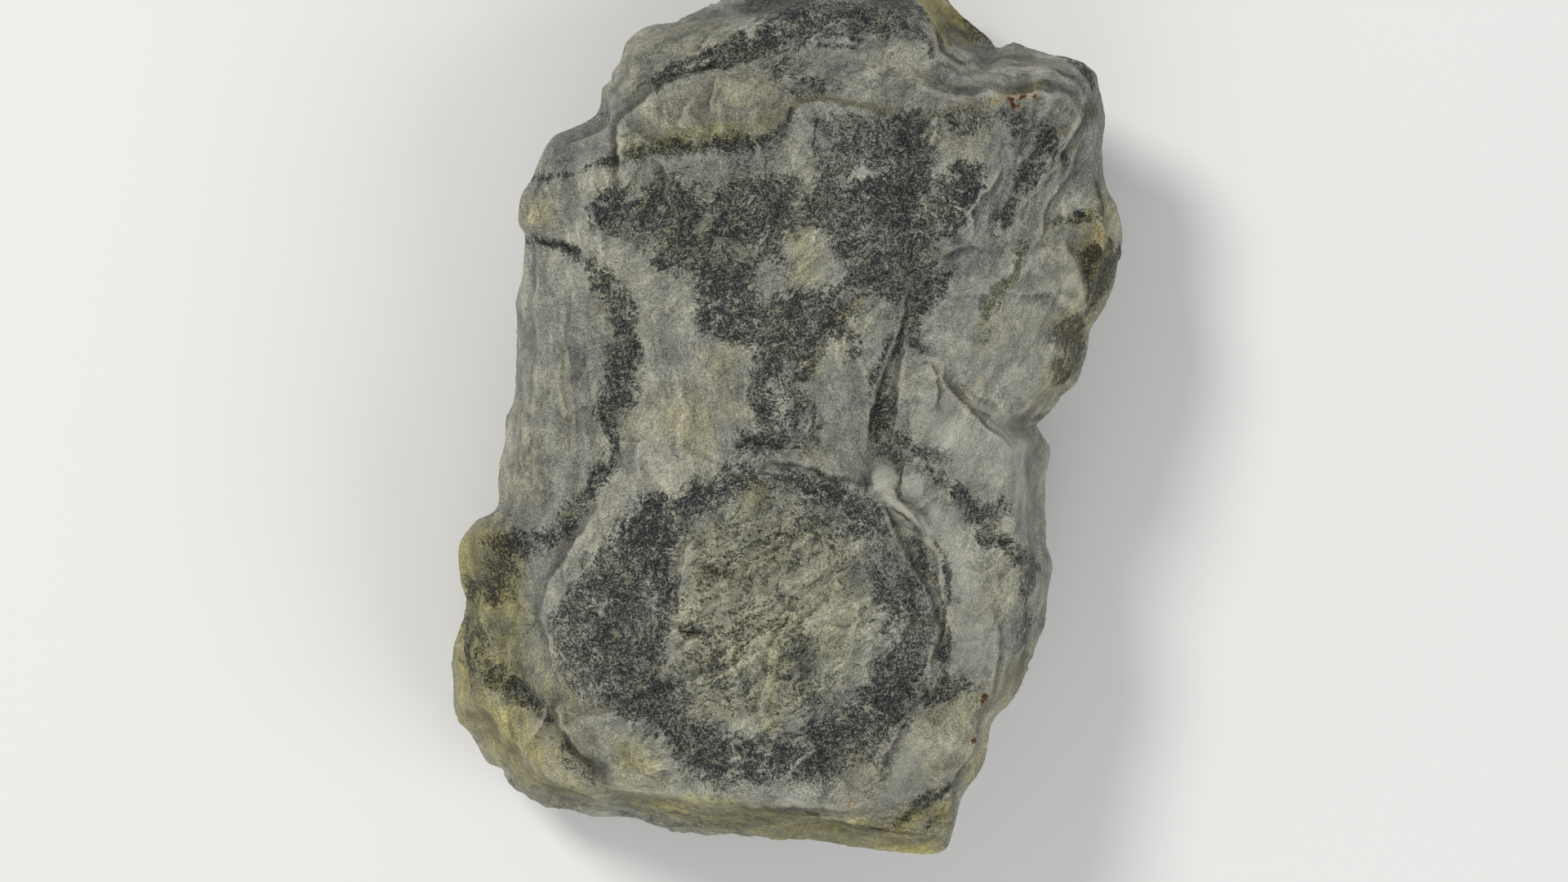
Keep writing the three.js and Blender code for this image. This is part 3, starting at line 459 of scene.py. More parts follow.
# The nearest edge or crack so far, or a new one where that is nearer.
def nearerLine(lines, *new):
    closer = np.abs(new[0]) < np.abs(lines[0])
    return [np.where(closer, fresh, old) for fresh, old in zip(new, lines)]


def strengthAlong(share, form, order):
    run = share * len(form["path"]) * form["pace"]
    nought = run * 0
    uneven = form["mean"] + form["swing"] * noise(
        run, nought + order * form["rowStep"], nought + form["row"])
    return endFade(share, form["fade"]) * np.clip(uneven, form["least"], form["most"])


# The face over the plan: a crown that falls as the square of the distance, lumps that are bells,
# ledges that step up on their left and die away, and cracks that are bells across their path.
# Also how deep in painted shade the foot of each ledge and each crack lies, how strong the painted
# highlight on each crest is, and the nearest edge or crack as a line: the distance across it, its
# strength, and how strong the painted highlight on its crest is.
def faceForm(x, y):
    waverX, waverY, nought = x, y, x * 0
    for waver in wavers:
        at = (x / waver["wave"], y / waver["wave"])
        waverX = waverX + waver["push"] * noise(*at, nought + waver["rows"][0])
        waverY = waverY + waver["push"] * noise(*at, nought + waver["rows"][1])
    z = stone["crownHeight"] - stone["crownFall"][0] * (x / stone["crownHalf"][0]) ** 2
    z = z - stone["crownFall"][1] * (y / stone["crownHalf"][1]) ** 2
    shade, crestHighlight, lines = nought, nought, [nought + farOff, nought, nought]

    for lump in lumps.values():
        angle = math.radians(lump["turn"])
        dx, dy = x - lump["at"][0], y - lump["at"][1]
        along = (dx * math.cos(angle) + dy * math.sin(angle)) / lump["reach"][0]
        across = (dy * math.cos(angle) - dx * math.sin(angle)) / lump["reach"][1]
        z = z + lump["height"] * np.exp(-(along**2) - across**2)
    for order, ledge in enumerate(ledges.values()):
        ledge = {**ledgeLaying, **ledge}
        distance, share = nearest(ledge["path"], waverX, waverY)
        fade = strengthAlong(share, ledge, order)
        step = smooth(0.5 + distance / (2 * ledge["soft"]))
        z = z + ledge["rise"] * step * np.exp(-np.maximum(0, distance) / ledge["reach"]) * fade
        strength = min(1, ledge["rise"] / ledge["full"]) * fade
        foot = np.exp(-(((distance + ledge["soft"]) / ledge["footWidth"]) ** 2))
        top = np.exp(-(((distance - ledge["soft"] * ledge["crestAt"]) / ledge["crestWidth"]) ** 2))
        shade = np.maximum(shade, foot * strength * ledge["shade"])
        crestHighlight = np.maximum(crestHighlight, top * strength * ledge["highlight"])
        lines = nearerLine(lines, distance, ledge["line"] * fade, ledge["highlight"])
    for order, crack in enumerate(cracks.values()):
        crack = {**crackLaying, **crack}
        distance, share = nearest(crack["path"], waverX, waverY)
        fade = strengthAlong(share, crack, order)
        bell = np.exp(-((distance / crack["half"]) ** 2)) * fade
        z = z - crack["depth"] * bell
        if crack["half"] < crack["widest"]:
            strength = min(1, crack["depth"] / crack["full"])
            shade = np.maximum(shade, bell * strength * crack["shade"])
            lines = nearerLine(lines, distance, crack["line"] * fade, crack["highlight"])
    return z, shade, crestHighlight, lines


# How far the side steps in below its undercuts, at a direction and a share of the rim's height.
def undercutAt(turn, heightShare):
    total = 0
    for cut in undercuts:
        ahead = np.where(turn + 360 <= cut["span"][1], turn + 360, turn)
        share = (ahead - cut["span"][0]) / (cut["span"][1] - cut["span"][0])
        past = cut["edge"][0] + (cut["edge"][1] - cut["edge"][0]) * clamp(share) - heightShare
        ends = endFade(share, stone["undercutFade"])
        total = total + cut["depth"] * smooth(past / stone["undercutSoft"]) * ends
    return total


# Moves points level with the table, in behind each facet's plane that they stand proud of.
def chip(points, strength):
    for facet in facets.values():
        facing = np.array(facet["facing"]) / np.linalg.norm(facet["facing"])
        proud = np.maximum(0, (points - facet["through"]) @ facing)
        plan = np.array([facing[0], facing[1], 0])
        move = proud * strength * (1 - stone["facetKeep"]) / (plan @ plan)
        points = points - move[:, None] * plan
    return points


def facePoints(plan):
    z = faceForm(plan[..., 0], plan[..., 1])[0]
    z = z + waves(swells, plan[..., 0], plan[..., 1], z, lambda wave: wave)
    return np.dstack([plan[..., 0], plan[..., 1], z]).reshape(*plan.shape[:-1], 3)


# The sheet in plan: the blend across of its left and right edges, plus the blend along of its lower
# and upper edges, less the blend of its corners.
def sheetPlan(columns, rows):
    u = np.linspace(0, 1, columns + 1)[None, :, None]
    v = np.linspace(0, 1, rows + 1)[:, None, None]
    left, right = (pointOn(sheetEdge, 2, 1 - v[:, 0, 0]), pointOn(sheetEdge, 0, v[:, 0, 0]))
    low, high = (pointOn(sheetEdge, 3, u[0, :, 0]), pointOn(sheetEdge, 1, 1 - u[0, :, 0]))
    across = (1 - u) * left[:, None] + u * right[:, None]
    along = (1 - v) * low[None] + v * high[None]
    lowest = (1 - u) * low[0] + u * low[-1]
    highest = (1 - u) * high[0] + u * high[-1]
    return across + along - (1 - v) * lowest - v * highest


# The rings of points below the sheet's edge: over the border, over the rounded shoulder to the rim,
# down the side to the foot, and in across the underside, for every point of the outline at once.
def ringsBelow(start, edge):
    outward = edge - middle
    radius = np.linalg.norm(outward, axis=1)
    away = outward / radius[:, None]
    turn = np.degrees(np.arctan2(outward[:, 1], outward[:, 0])) % 360
    rimShare, shoulder, drawIn = rimAt(turn)
    faceEdge = edge - away * shoulder[:, None]
    rimHeight = rimShare * faceForm(faceEdge[:, 0], faceEdge[:, 1])[0]

    def inside(inset):
        return edge - away * np.asarray(inset)[:, None]

    def bitten(points, strength):
        bite = waves(scallops, *points.T, np.abs) * strength
        return points - np.column_stack([away * bite[:, None], np.zeros(len(points))])

    rings = []
    for row in range(1, stone["borderRows"] + 1):
        rings.append(facePoints(start + (faceEdge - start) * row / stone["borderRows"]))
    for row in range(1, stone["shoulderRows"] + 1):
        roll = row / stone["shoulderRows"] * math.pi / 2
        points = facePoints(inside(shoulder * (1 - math.sin(roll))))
        arch = max(0.0, math.cos(roll)) ** stone["archPower"]
        points[:, 2] = rimHeight + (points[:, 2] - rimHeight) * arch
        strength = math.sin(2 * roll) * row / stone["shoulderRows"]
        rings.append(bitten(points, strength))
    for row in range(1, stone["sideRows"] + 1):
        drop = row / stone["sideRows"]
        plan = inside(drawIn * drop**2 + undercutAt(turn, 1 - drop))
        plan = plan + np.array(stone["lean"]) * drop
        points = bitten(np.column_stack([plan, rimHeight * (1 - drop)]), min(1, 2 * drop))
        rings.append(chip(points, smooth(stone["facetPace"] * drop)))
    foot = rings[-1]
    for ring in range(1, stone["footRings"]):
        share = ring / stone["footRings"]
        rings.append(foot + (np.array([*middle, 0]) - foot) * share)
    return rings


# A mark takes up a share of the ground, its level, and its edge feathers over its softness on both
# sides. A patch is a closed outline, and a band a path with a half width at each of its points.
def patch(level, soft, outline):
    return dict(level=level, soft=soft, outline=outline)


def band(level, soft, half, path):
    return dict(level=level, soft=soft, half=half, path=path)


# Where the dark mica lies in plan.
micaPatches = {
    "cleftGround": patch(0.55, 1.8, [
        (20.5, 27), (24.5, 27), (26, 22), (24.5, 16), (21, 14)]),
    "funnelTop": patch(0.62, 2.5, [
        (3.5, 44), (4, 53), (14, 54), (16, 47), (11, 43)]),
    "neckFoot": patch(0.66, 1.6, [
        (-9.5, -3), (-8, 2), (2, 3), (5, 0), (-2, -3)]),
    "lobeMottle": patch(0.75, 3, [
        (-53, -18), (-46, -19), (-45, -26), (-51, -28)]),
    "bladeBack": patch(0.9, 2, [
        (25.5, 35.5), (30, 34.5), (32.6, 38), (34.6, 43), (33.5, 47.5), (29, 47.5), (26, 42)]),
    "topRight": patch(0.78, 2.6, [
        (-4, 79), (-1, 69), (10, 69.5), (23, 69), (23, 76), (10, 77)]),
    "cleftTop": patch(0.8, 2.5, [
        (19, 56), (25.5, 56), (26.5, 46), (24, 38), (20, 40)]),
    "funnel": patch(0.76, 2.4, [
        (-33, 41.5), (-31, 43.5), (-28.5, 45), (-25, 43.5), (-21, 44.5), (-17, 45), (-12, 45.5),
        (-7, 45.5), (-3, 46.5), (1, 46.5), (4, 44), (8, 44.5), (12, 46.5), (16, 47), (19, 49),
        (21, 52), (23.5, 54), (24.5, 50), (27, 48), (31, 48.5), (35, 46.5), (34, 43), (32, 39.5),
        (30, 36), (26, 34), (26, 30), (29, 27), (25, 23), (20, 22), (15, 23), (12, 18), (8, 15.5),
        (2, 14), (-4, 15), (-8, 16), (-11, 17), (-14, 19), (-15, 22), (-15, 25.5),
        (-16, 28), (-19, 28), (-22, 29), (-23, 31), (-24, 33), (-26, 34), (-31, 35), (-32, 38)]),
    "neck": patch(0.6, 2.2, [
        (-6, 16), (-5, 12), (-5.3, 7), (-6.6, 3), (-7, 0.5), (-3, -1), (0, -2.5), (5, -3.5), (6, 1),
        (5.6, 6), (6, 11), (8, 16), (2, 17)]),
    "underSlab": patch(0.3, 2.4, [
        (-28, 44), (-27, 48.5), (-14, 49.5), (-1, 51), (2, 47.5), (-2, 45), (-14, 44), (-24, 43)]),
    "topGround": patch(0.24, 3, [
        (-27, 62), (-25, 68), (-12, 74), (-5, 72), (-9, 68), (-14, 66), (-22, 62.5)]),
    "creaseGround": patch(0.66, 2.6, [
        (4, 55.5), (10, 56), (18, 56.3), (22, 54), (22, 48), (15, 46.5), (8, 48), (5, 51.5)]),
    "creaseRight": patch(0.5, 3.4, [
        (23, 56.5), (29, 57.5), (36, 57), (35, 52), (28, 50), (23, 50)]),
    "eyeStrip": patch(0.46, 1.6, [
        (-9, -31), (-4.5, -33), (-4, -40), (-4.6, -49), (-7.5, -46), (-8, -38)]),
    "edgeWedge": patch(0.75, 0.9, [
        (20, -16), (22.3, -17), (25.6, -22.5), (26.4, -26.3), (23.5, -22.8)]),
    "topDark": patch(0.86, 2, [
        (-10.5, 66), (-8, 68.5), (-5.5, 70.5), (-4, 73), (-2, 75), (0, 79), (7, 80), (6.5, 75),
        (6.5, 72), (6, 69.5), (4, 67.5), (2, 66.5), (-2, 67), (-5, 66), (-8, 65.5)]),
    "topSpeckle": patch(0.58, 3, [
        (-3, 66), (3, 66), (8, 62), (10, 60), (9, 58.8), (2, 58.5), (-2, 60), (-3, 63)]),
    "lobeHigh": patch(0.86, 1.8, [
        (-52, -16.5), (-48, -15.5), (-44, -15), (-40.5, -14.5), (-38, -16.5), (-40.5, -18.8),
        (-44, -20.2), (-48, -20.5), (-51.5, -19.3)]),
    "lobeMiddle": patch(0.82, 1.8, [
        (-55.5, -22.5), (-51, -21.8), (-47, -21), (-45, -22.5), (-45.5, -24.8), (-49, -24.8),
        (-53, -25.2), (-55, -25)]),
    "underEye": patch(0.55, 1.8, [
        (-39.5, -51), (-36.5, -51.5), (-34, -54), (-31.5, -58.5), (-32, -60.2), (-35, -58),
        (-38, -56), (-39.3, -53.5)]),
    "eyePit": patch(0.6, 1.5, [
        (-15.5, -20.8), (-12, -21), (-10, -22.5), (-11.5, -24.5), (-14.5, -24.5)]),
    "eyeHeart": patch(0.6, 3, [
        (-1, -10), (6, -11.5), (10.5, -15), (9.5, -19), (4, -20), (0, -17)]),
    "eyeLeft": patch(0.52, 2.5, [
        (-17, -30), (-10, -27), (-6, -30), (-6, -46), (-12, -48), (-15, -42), (-19, -38)]),
    "eyeMiddle": patch(0.5, 2, [
        (-2, -24), (3, -25.5), (9, -28.5), (4, -29.5), (-1, -28)]),
    "eyeFoot": patch(0.56, 3, [
        (1, -42), (7, -40), (12, -42), (8, -46), (2, -47)]),
    "belowTrench": patch(0.8, 1.6, [
        (24, -41.8), (26.5, -39.5), (31, -40.3), (33.5, -41.8), (31, -43.8), (27.5, -45),
        (24, -46.5), (22.5, -45.5)]),
    "sideHigh": patch(0.84, 1.8, [
        (30.5, -10), (33, -10.8), (38, -10), (39.5, -12.5), (37, -15), (33.5, -14.5)]),
    "sideLow": patch(0.82, 2, [
        (40.5, -22.5), (45.5, -21), (44.5, -27), (43.5, -31), (42.5, -36), (40.5, -37.5),
        (39.8, -33.5), (41, -29), (40, -26)]),
    "cleftRight": patch(0.75, 1.8, [
        (23, 25), (25.5, 28), (28.5, 29), (30, 30.5), (29, 27), (26, 23), (24, 19.5), (22, 17.5),
        (21.5, 21)]),
    "lobeGrey": patch(0.62, 2.4, [
        (22, 46), (25, 48), (29, 48.5), (33, 48), (35.5, 46), (34, 42), (31, 37.5), (27, 35),
        (23, 36), (21, 40)]),
    "shoulderGrey": patch(0.5, 2.4, [
        (35, 57), (40, 57.5), (43, 57.5), (44.5, 53.5), (47.5, 53.5), (48.5, 51), (46, 48.5),
        (43, 50), (40, 51), (37, 54)]),
    "browBack": patch(0.66, 0.8, [
        (26, 67), (32, 68.5), (40, 69), (48, 67), (53, 63.5), (51, 62.8), (45, 65.6), (34, 65.4)]),
    "brownPatch": patch(1, 1, [
        (49.8, 33.5), (53, 35), (58.5, 35.5), (59, 31), (58, 26.5), (55, 22), (51, 21.8),
        (51.8, 26), (50.4, 29.5), (49.6, 32)]),
    "brownLow": patch(0.95, 1.5, [
        (50, 22.5), (54, 21), (53.5, 16), (51.5, 10.5), (47, 8.5), (45.5, 12), (48, 15),
        (45.5, 17.5), (46, 20.5), (48.5, 21.5)]),
    "columnGrey": patch(0.42, 2, [
        (15, -53), (18, -52), (19, -56), (17, -60), (16, -64), (14, -64), (14.5, -58)]),
}
# The ring of mica round the eye lies between these two outlines.
eyeRing = dict(level=0.79, soft=3.2, outer=[
    (-5, -3.5), (-9, -3), (-12, -5.5), (-15, -6.8), (-18, -8.8), (-24, -9), (-27, -11),
    (-29, -13.5), (-30.5, -16.5), (-33, -19), (-35.5, -22.5), (-38, -27), (-39.5, -30.5),
    (-40, -34), (-39.5, -37.5), (-38, -40.5), (-36, -43), (-33.5, -45), (-30.5, -46.2),
    (-27.5, -48), (-24.5, -50), (-21.5, -51.5), (-19, -54.5), (-16, -57.5), (-12, -59),
    (-7, -58.5), (-2, -59), (3, -59), (7, -59.5), (11, -56.5), (15, -53.5), (19, -50.5),
    (22, -46.5), (24.5, -43), (25.2, -39), (25.5, -36), (26, -32), (25.5, -28), (24.5, -25),
    (22, -20.5), (20.5, -17), (18.5, -14), (16, -10.5), (13.5, -7.5), (8, -6.5), (3, -5)],
    inner=[
    (-4, -8), (-8, -9.5), (-11.5, -11), (-14.5, -13.5), (-17, -16), (-18.3, -19.5), (-18, -23),
    (-17.5, -27), (-18, -30.5), (-19.5, -34), (-20, -38), (-18.8, -41), (-16.5, -44),
    (-14.5, -47), (-12, -49.5), (-8, -50.3), (-4, -51), (0, -50.8), (3, -47.5), (8, -46.5),
    (11, -44), (13.5, -41), (15, -38), (17, -35), (17, -30.5), (15.2, -27.5), (15, -22.5),
    (13, -19), (10.5, -16), (8, -13), (3, -11.5), (0, -9.5)],
    insideLevel=0.4)
micaBands = {
    "funnelLeft": band(0.85, 2, [1.6, 1.8, 1.4], [
        (-32, 40.5), (-31, 37.5), (-29.5, 36)]),
    "funnelHigh": band(0.85, 3, [1, 1.6, 2], [
        (-13, 43.5), (-6, 42.5), (0, 40.5)]),
    "funnelCore": band(0.9, 3, [1.5, 2.4, 2.4, 1.5], [
        (-15, 37), (-9, 36), (-3, 36.5), (2, 38.5)]),
    "funnelEdge": band(0.88, 1.8, [0.8, 1.2, 1.2, 1], [
        (-22, 30.5), (-16, 29.5), (-10, 32), (-5, 34)]),
    "funnelSlant": band(0.82, 2.2, [1.2, 1.6, 1.2], [
        (-14, 24), (-9.5, 27.5), (-5, 30.5)]),
    "funnelLow": band(0.82, 2.2, [1.2, 1.6, 1.6, 1], [
        (-13, 19), (-8.5, 20.5), (-4, 23.5), (-1, 22)]),
    "funnelRight": band(0.85, 3, [2, 3, 2.4, 1.5], [
        (11, 44), (17, 42), (22, 40.5), (28, 43)]),
    "funnelFoot": band(0.88, 2.4, [1.4, 2.6, 2, 1.4], [
        (8, 24.5), (13, 29), (17, 32), (20, 35)]),
    "neckRim": band(0.7, 1.6, [1.2, 1.5, 1.2], [
        (9, 21.5), (11.5, 18), (11.5, 14)]),
    "neckLeft": band(0.82, 1.8, [1.4, 2, 2, 1.2], [
        (-2, 16.5), (-3.5, 12), (-4, 5), (-3.5, 1.5)]),
    "neckRight": band(0.75, 1.8, [1, 1.4, 1], [(1.5, 9), (4, 8.3), (5, 2.5)]),
    "ringTop": band(0.85, 2, [1.4, 2.2, 2, 1.4], [
        (-25, -12.5), (-18, -11.5), (-12.5, -8), (-9, -4.5)]),
    "ringHigh": band(0.8, 2.2, [1.5, 2.2, 1.6], [
        (-31, -18), (-27, -22), (-22.5, -27)]),
    "ringMiddle": band(0.78, 2.2, [1.2, 2, 1.4], [
        (-29.5, -31), (-25, -34), (-21.5, -37)]),
    "ringSpot": band(0.9, 1.8, [1.4, 1.6], [(-19, -42), (-16.8, -44.3)]),
    "ringLow": band(0.88, 2.4, [1.6, 2.6, 2.4], [
        (-20, -50.5), (-14.5, -53.5), (-9, -54.5)]),
    "ringFoot": band(0.9, 1.8, [1.6, 1.6, 1.2], [
        (-3.5, -51.5), (0, -52.5), (2.5, -55.5)]),
    "ringFootRight": band(0.88, 2, [1, 1.6, 2, 1.6], [
        (4, -48), (8, -49.5), (13.5, -50.5), (16, -46.5)]),
    "ringRightLow": band(0.78, 2.4, [2, 2.4, 1.6], [
        (16, -46.5), (19.5, -43), (23, -41)]),
    "ringRightSpot": band(0.85, 1.4, [1, 1.3], [(17.3, -31), (17.9, -34.5)]),
    "ringRightHigh": band(0.82, 2.2, [2, 2.4, 1.6], [
        (15.5, -22.5), (19, -25), (22, -27)]),
    "ringTopRight": band(0.76, 2.4, [1.4, 2.2, 2], [
        (6, -9.5), (12, -14), (17, -18)]),
    "eyeDash": band(0.6, 1, [0.7, 0.9, 0.6], [
        (-2, -37.8), (1, -37.2), (5, -36.6)]),
    "eyeFleck": band(0.62, 1.4, [1, 1.2], [(2.5, -20.5), (6, -18.3)]),
    "highBand": band(1, 0.9, [0.3, 0.6, 0.8, 0.7, 0.9, 1.4], [
        (-23, 60), (-20, 61.4), (-17, 62.5), (-13.5, 63.7), (-10.5, 65.2), (-6, 66.6)]),
    "highStrand": band(0.92, 0.9, [0.4, 0.7, 1.0, 0.9, 1.1, 1.6], [
        (-24, 61.8), (-21, 63.2), (-18.6, 64), (-15, 64.9), (-11.5, 66.6), (-7, 69)]),
    "topStrand": band(0.7, 1, [0.7, 0.9, 1, 1.1], [
        (21, 76), (23, 72.5), (24, 69), (25.5, 66)]),
    "topLine": band(0.7, 0.6, [0.4, 0.6, 0.4], [
        (6.5, 67.4), (9, 67.6), (12, 68)]),
    "creaseShade": band(0.66, 1.5, [1, 1.2, 0.9], [
        (4.5, 54.3), (10, 53.8), (16.5, 53.2)]),
    "thirdBand": band(0.86, 1.7, [
        0.9, 1.5, 1.5, 1.6, 1.6, 1.7, 1.6, 1.2, 0.8], [
        (-28, 49.4), (-25, 49.4), (-21, 50), (-16, 50.6), (-11, 50.9), (-7, 51.4), (-3, 51.8),
        (0, 53), (1.2, 56)]),
    "secondBand": band(0.95, 0.8, [0.8, 0.8, 0.6, 0.6, 0.9, 1.1], [
        (-43.5, 44.3), (-40, 45.2), (-36, 45.8), (-33, 47), (-30, 48.2), (-28.4, 48.5)]),
    "rimPatch": band(0.9, 1.2, [0.4, 1.2, 1.4, 0.8], [
        (-43, 34.8), (-40, 33.8), (-37, 33), (-35.5, 32)]),
    "edgeFleck": band(0.6, 0.8, [0.6, 0.5], [(-32.3, 55.2), (-30, 55.5)]),
    "leftBand": band(0.92, 1.9, [
        1.0, 1.5, 1.7, 2.1, 1.8, 1.6, 2.2, 3.1, 3.4, 3.3, 3, 1.9, 1.4, 1.3, 1.4, 1.5, 1.5, 1.5,
        1.6, 1.8], [
        (-33.5, 31), (-32, 29), (-30.5, 27), (-28.5, 24.5), (-27.3, 22), (-26.8, 19.5),
        (-26.5, 17.5), (-27.5, 15), (-28.2, 12), (-28.3, 9), (-29, 6.5), (-30, 4.5), (-30, 2),
        (-29.5, -1), (-30, -3.5), (-32, -6), (-33, -8), (-35, -10), (-36.5, -12.5), (-37.5, -15)]),
    "lobeBand": band(0.92, 1.5, [0.8, 1.5, 2, 1.6, 1.4, 1.3, 1.5, 1.5, 1.3], [
        (-54, -27.5), (-52, -29.5), (-51, -32), (-49.5, -35), (-47.8, -37.5), (-46.5, -40),
        (-44, -42.5), (-41.5, -45), (-40, -48)]),
    "lobeBandOuter": band(0.6, 1, [0.7, 0.9, 0.8, 0.6], [
        (-53.5, -34.5), (-51.5, -37.5), (-49, -40), (-46.5, -42.5)]),
    "trench": band(0.85, 0.8, [0.5, 0.8, 0.9, 0.7, 0.4, 0.6, 1, 0.8], [
        (26.2, -17.5), (26.8, -20), (27.7, -22.5), (27.6, -25), (27.2, -28), (27.5, -31),
        (27.6, -34), (27, -38)]),
    "trenchNotch": band(0.8, 0.5, [0.6, 0.5], [(27.3, -27.5), (30, -27.9)]),
    "seamBand": band(0.85, 1.8, [0.9, 1.3, 1.3, 1.3, 1.5, 1.8, 1.6], [
        (18, -3), (21, -4.6), (25, -5.6), (28, -7.3), (30.5, -9.5), (32.5, -12), (35, -14.5)]),
    "seamPatch": band(0.72, 1.8, [1.4, 1.6, 1.2], [
        (20, -0.5), (24, -1.6), (28, -3)]),
    "sideBand": band(0.88, 1.6, [1.3, 1.6, 1.6, 1.5], [
        (34, -16), (37, -17.8), (40, -19.5), (44.5, -22)]),
    "cleftHigh": band(0.6, 2.2, [0.6, 1.4, 2, 1.6, 1.2], [
        (22, 60), (21.2, 54), (21.5, 45), (21.5, 36), (21, 29)]),
    "cleft": band(0.78, 1.4, [1, 1, 1.2, 1.4, 1.6, 2, 2.1, 2.1, 1.6], [
        (21, 32), (20.8, 26), (20.3, 20), (19, 16.5), (17.3, 13), (16.4, 9.5), (16.6, 6), (16.7, 2),
        (17, -1.5)]),
    "rimDark": band(0.85, 0.9, [0.9, 1.3, 0.9], [
        (51, 64.5), (52.7, 62.3), (53.8, 60.3)]),
    "edgeDark": band(0.8, 0.8, [0.6, 0.7, 0.5], [
        (54, 44), (54.8, 41), (54.5, 38)]),
    "lobeHeart": band(0.78, 1.8, [1, 1.8, 2, 1.6], [
        (35.5, 36), (38.5, 40.5), (41.5, 45), (44.5, 49.5)]),
    "shoulderBlot": band(0.8, 1.6, [1.4, 1.8, 1.2], [
        (45, 53.5), (46.5, 51), (47.5, 48.5)]),
    "brownBand": band(0.72, 1.2, [0.6, 0.9, 0.9, 0.6], [
        (45, 37), (47.5, 38.5), (51, 38.2), (53.5, 39.2)]),
    "oliveStreak": band(0.85, 1.3, [0.7, 1.2, 1.4, 1.1, 0.7], [
        (33.5, 17), (35, 22), (37, 25.5), (39.5, 28.5), (41, 34)]),
    "edgeBrown": band(0.6, 0.9, [0.8, 0.9, 0.7, 0.6], [
        (47, 8.5), (44.5, 5.5), (41, 4), (42, 2)]),
    "lowRight": band(0.88, 0.9, [0.5, 0.9, 1.1, 0.7], [
        (18, -66.5), (21, -64), (24, -61.5), (27.5, -58.8)]),
    "lowRightOuter": band(0.5, 0.7, [0.5, 0.7, 0.5], [
        (24.5, -67), (27, -63), (29, -60.5)]),
}
# Clear ground inside the dark: it takes mica away.
clearPatches = {
    "funnelHeart": patch(0.9, 1.8, [
        (0.5, 35.5), (4, 36), (8, 34.5), (10, 31), (9, 27), (5, 26), (1, 27), (0, 31)]),
    "heartLeft": patch(0.75, 1.8, [
        (-5.5, 31), (-2, 31.5), (0.5, 29), (0, 25.5), (-3, 25), (-5, 27)]),
    "neckRight": patch(0.64, 1.8, [
        (11.5, 12), (15.5, 12), (18, 18), (19, 22), (17, 24.5), (15.5, 21), (13.8, 17)]),
    "eyeRight": patch(0.45, 2.6, [
        (5, -20), (9, -20.5), (13, -24), (14, -28), (15, -33), (14, -38), (9, -38.5), (5, -37),
        (4, -30), (3.5, -25)]),
    "funnelRight": patch(0.2, 2.4, [
        (23.5, 27), (27, 33), (29, 40), (27, 48), (24, 46), (23, 36)]),
    "ringRight": patch(0.3, 3, [
        (12, -14), (18, -17), (22, -24), (18, -25), (14, -20)]),
    "ringThin": patch(0.35, 2, [
        (17, -35.5), (24.5, -36), (25, -31), (17, -30.5)]),
    "ringLowLeft": patch(0.12, 4, [
        (-40, -34), (-31, -36), (-25, -39), (-22, -45), (-27, -49), (-36, -44)]),
}
clearBands = {
    "funnelColumn": band(0.6, 1.1, [1, 1, 0.9], [
        (3.8, 55), (3.2, 44), (3, 36)]),
    "funnelFleck": band(0.7, 0.7, [0.5, 0.9, 0.5], [
        (-14.5, 35.5), (-13.3, 37.5), (-12, 39.7)]),
    "funnelCorner": band(0.5, 1, [0.9, 0.7], [(-26, 42.3), (-24, 42.7)]),
    "lowFleck": band(0.6, 0.9, [0.8, 0.7], [(-8, 33.5), (-5, 33)]),
}

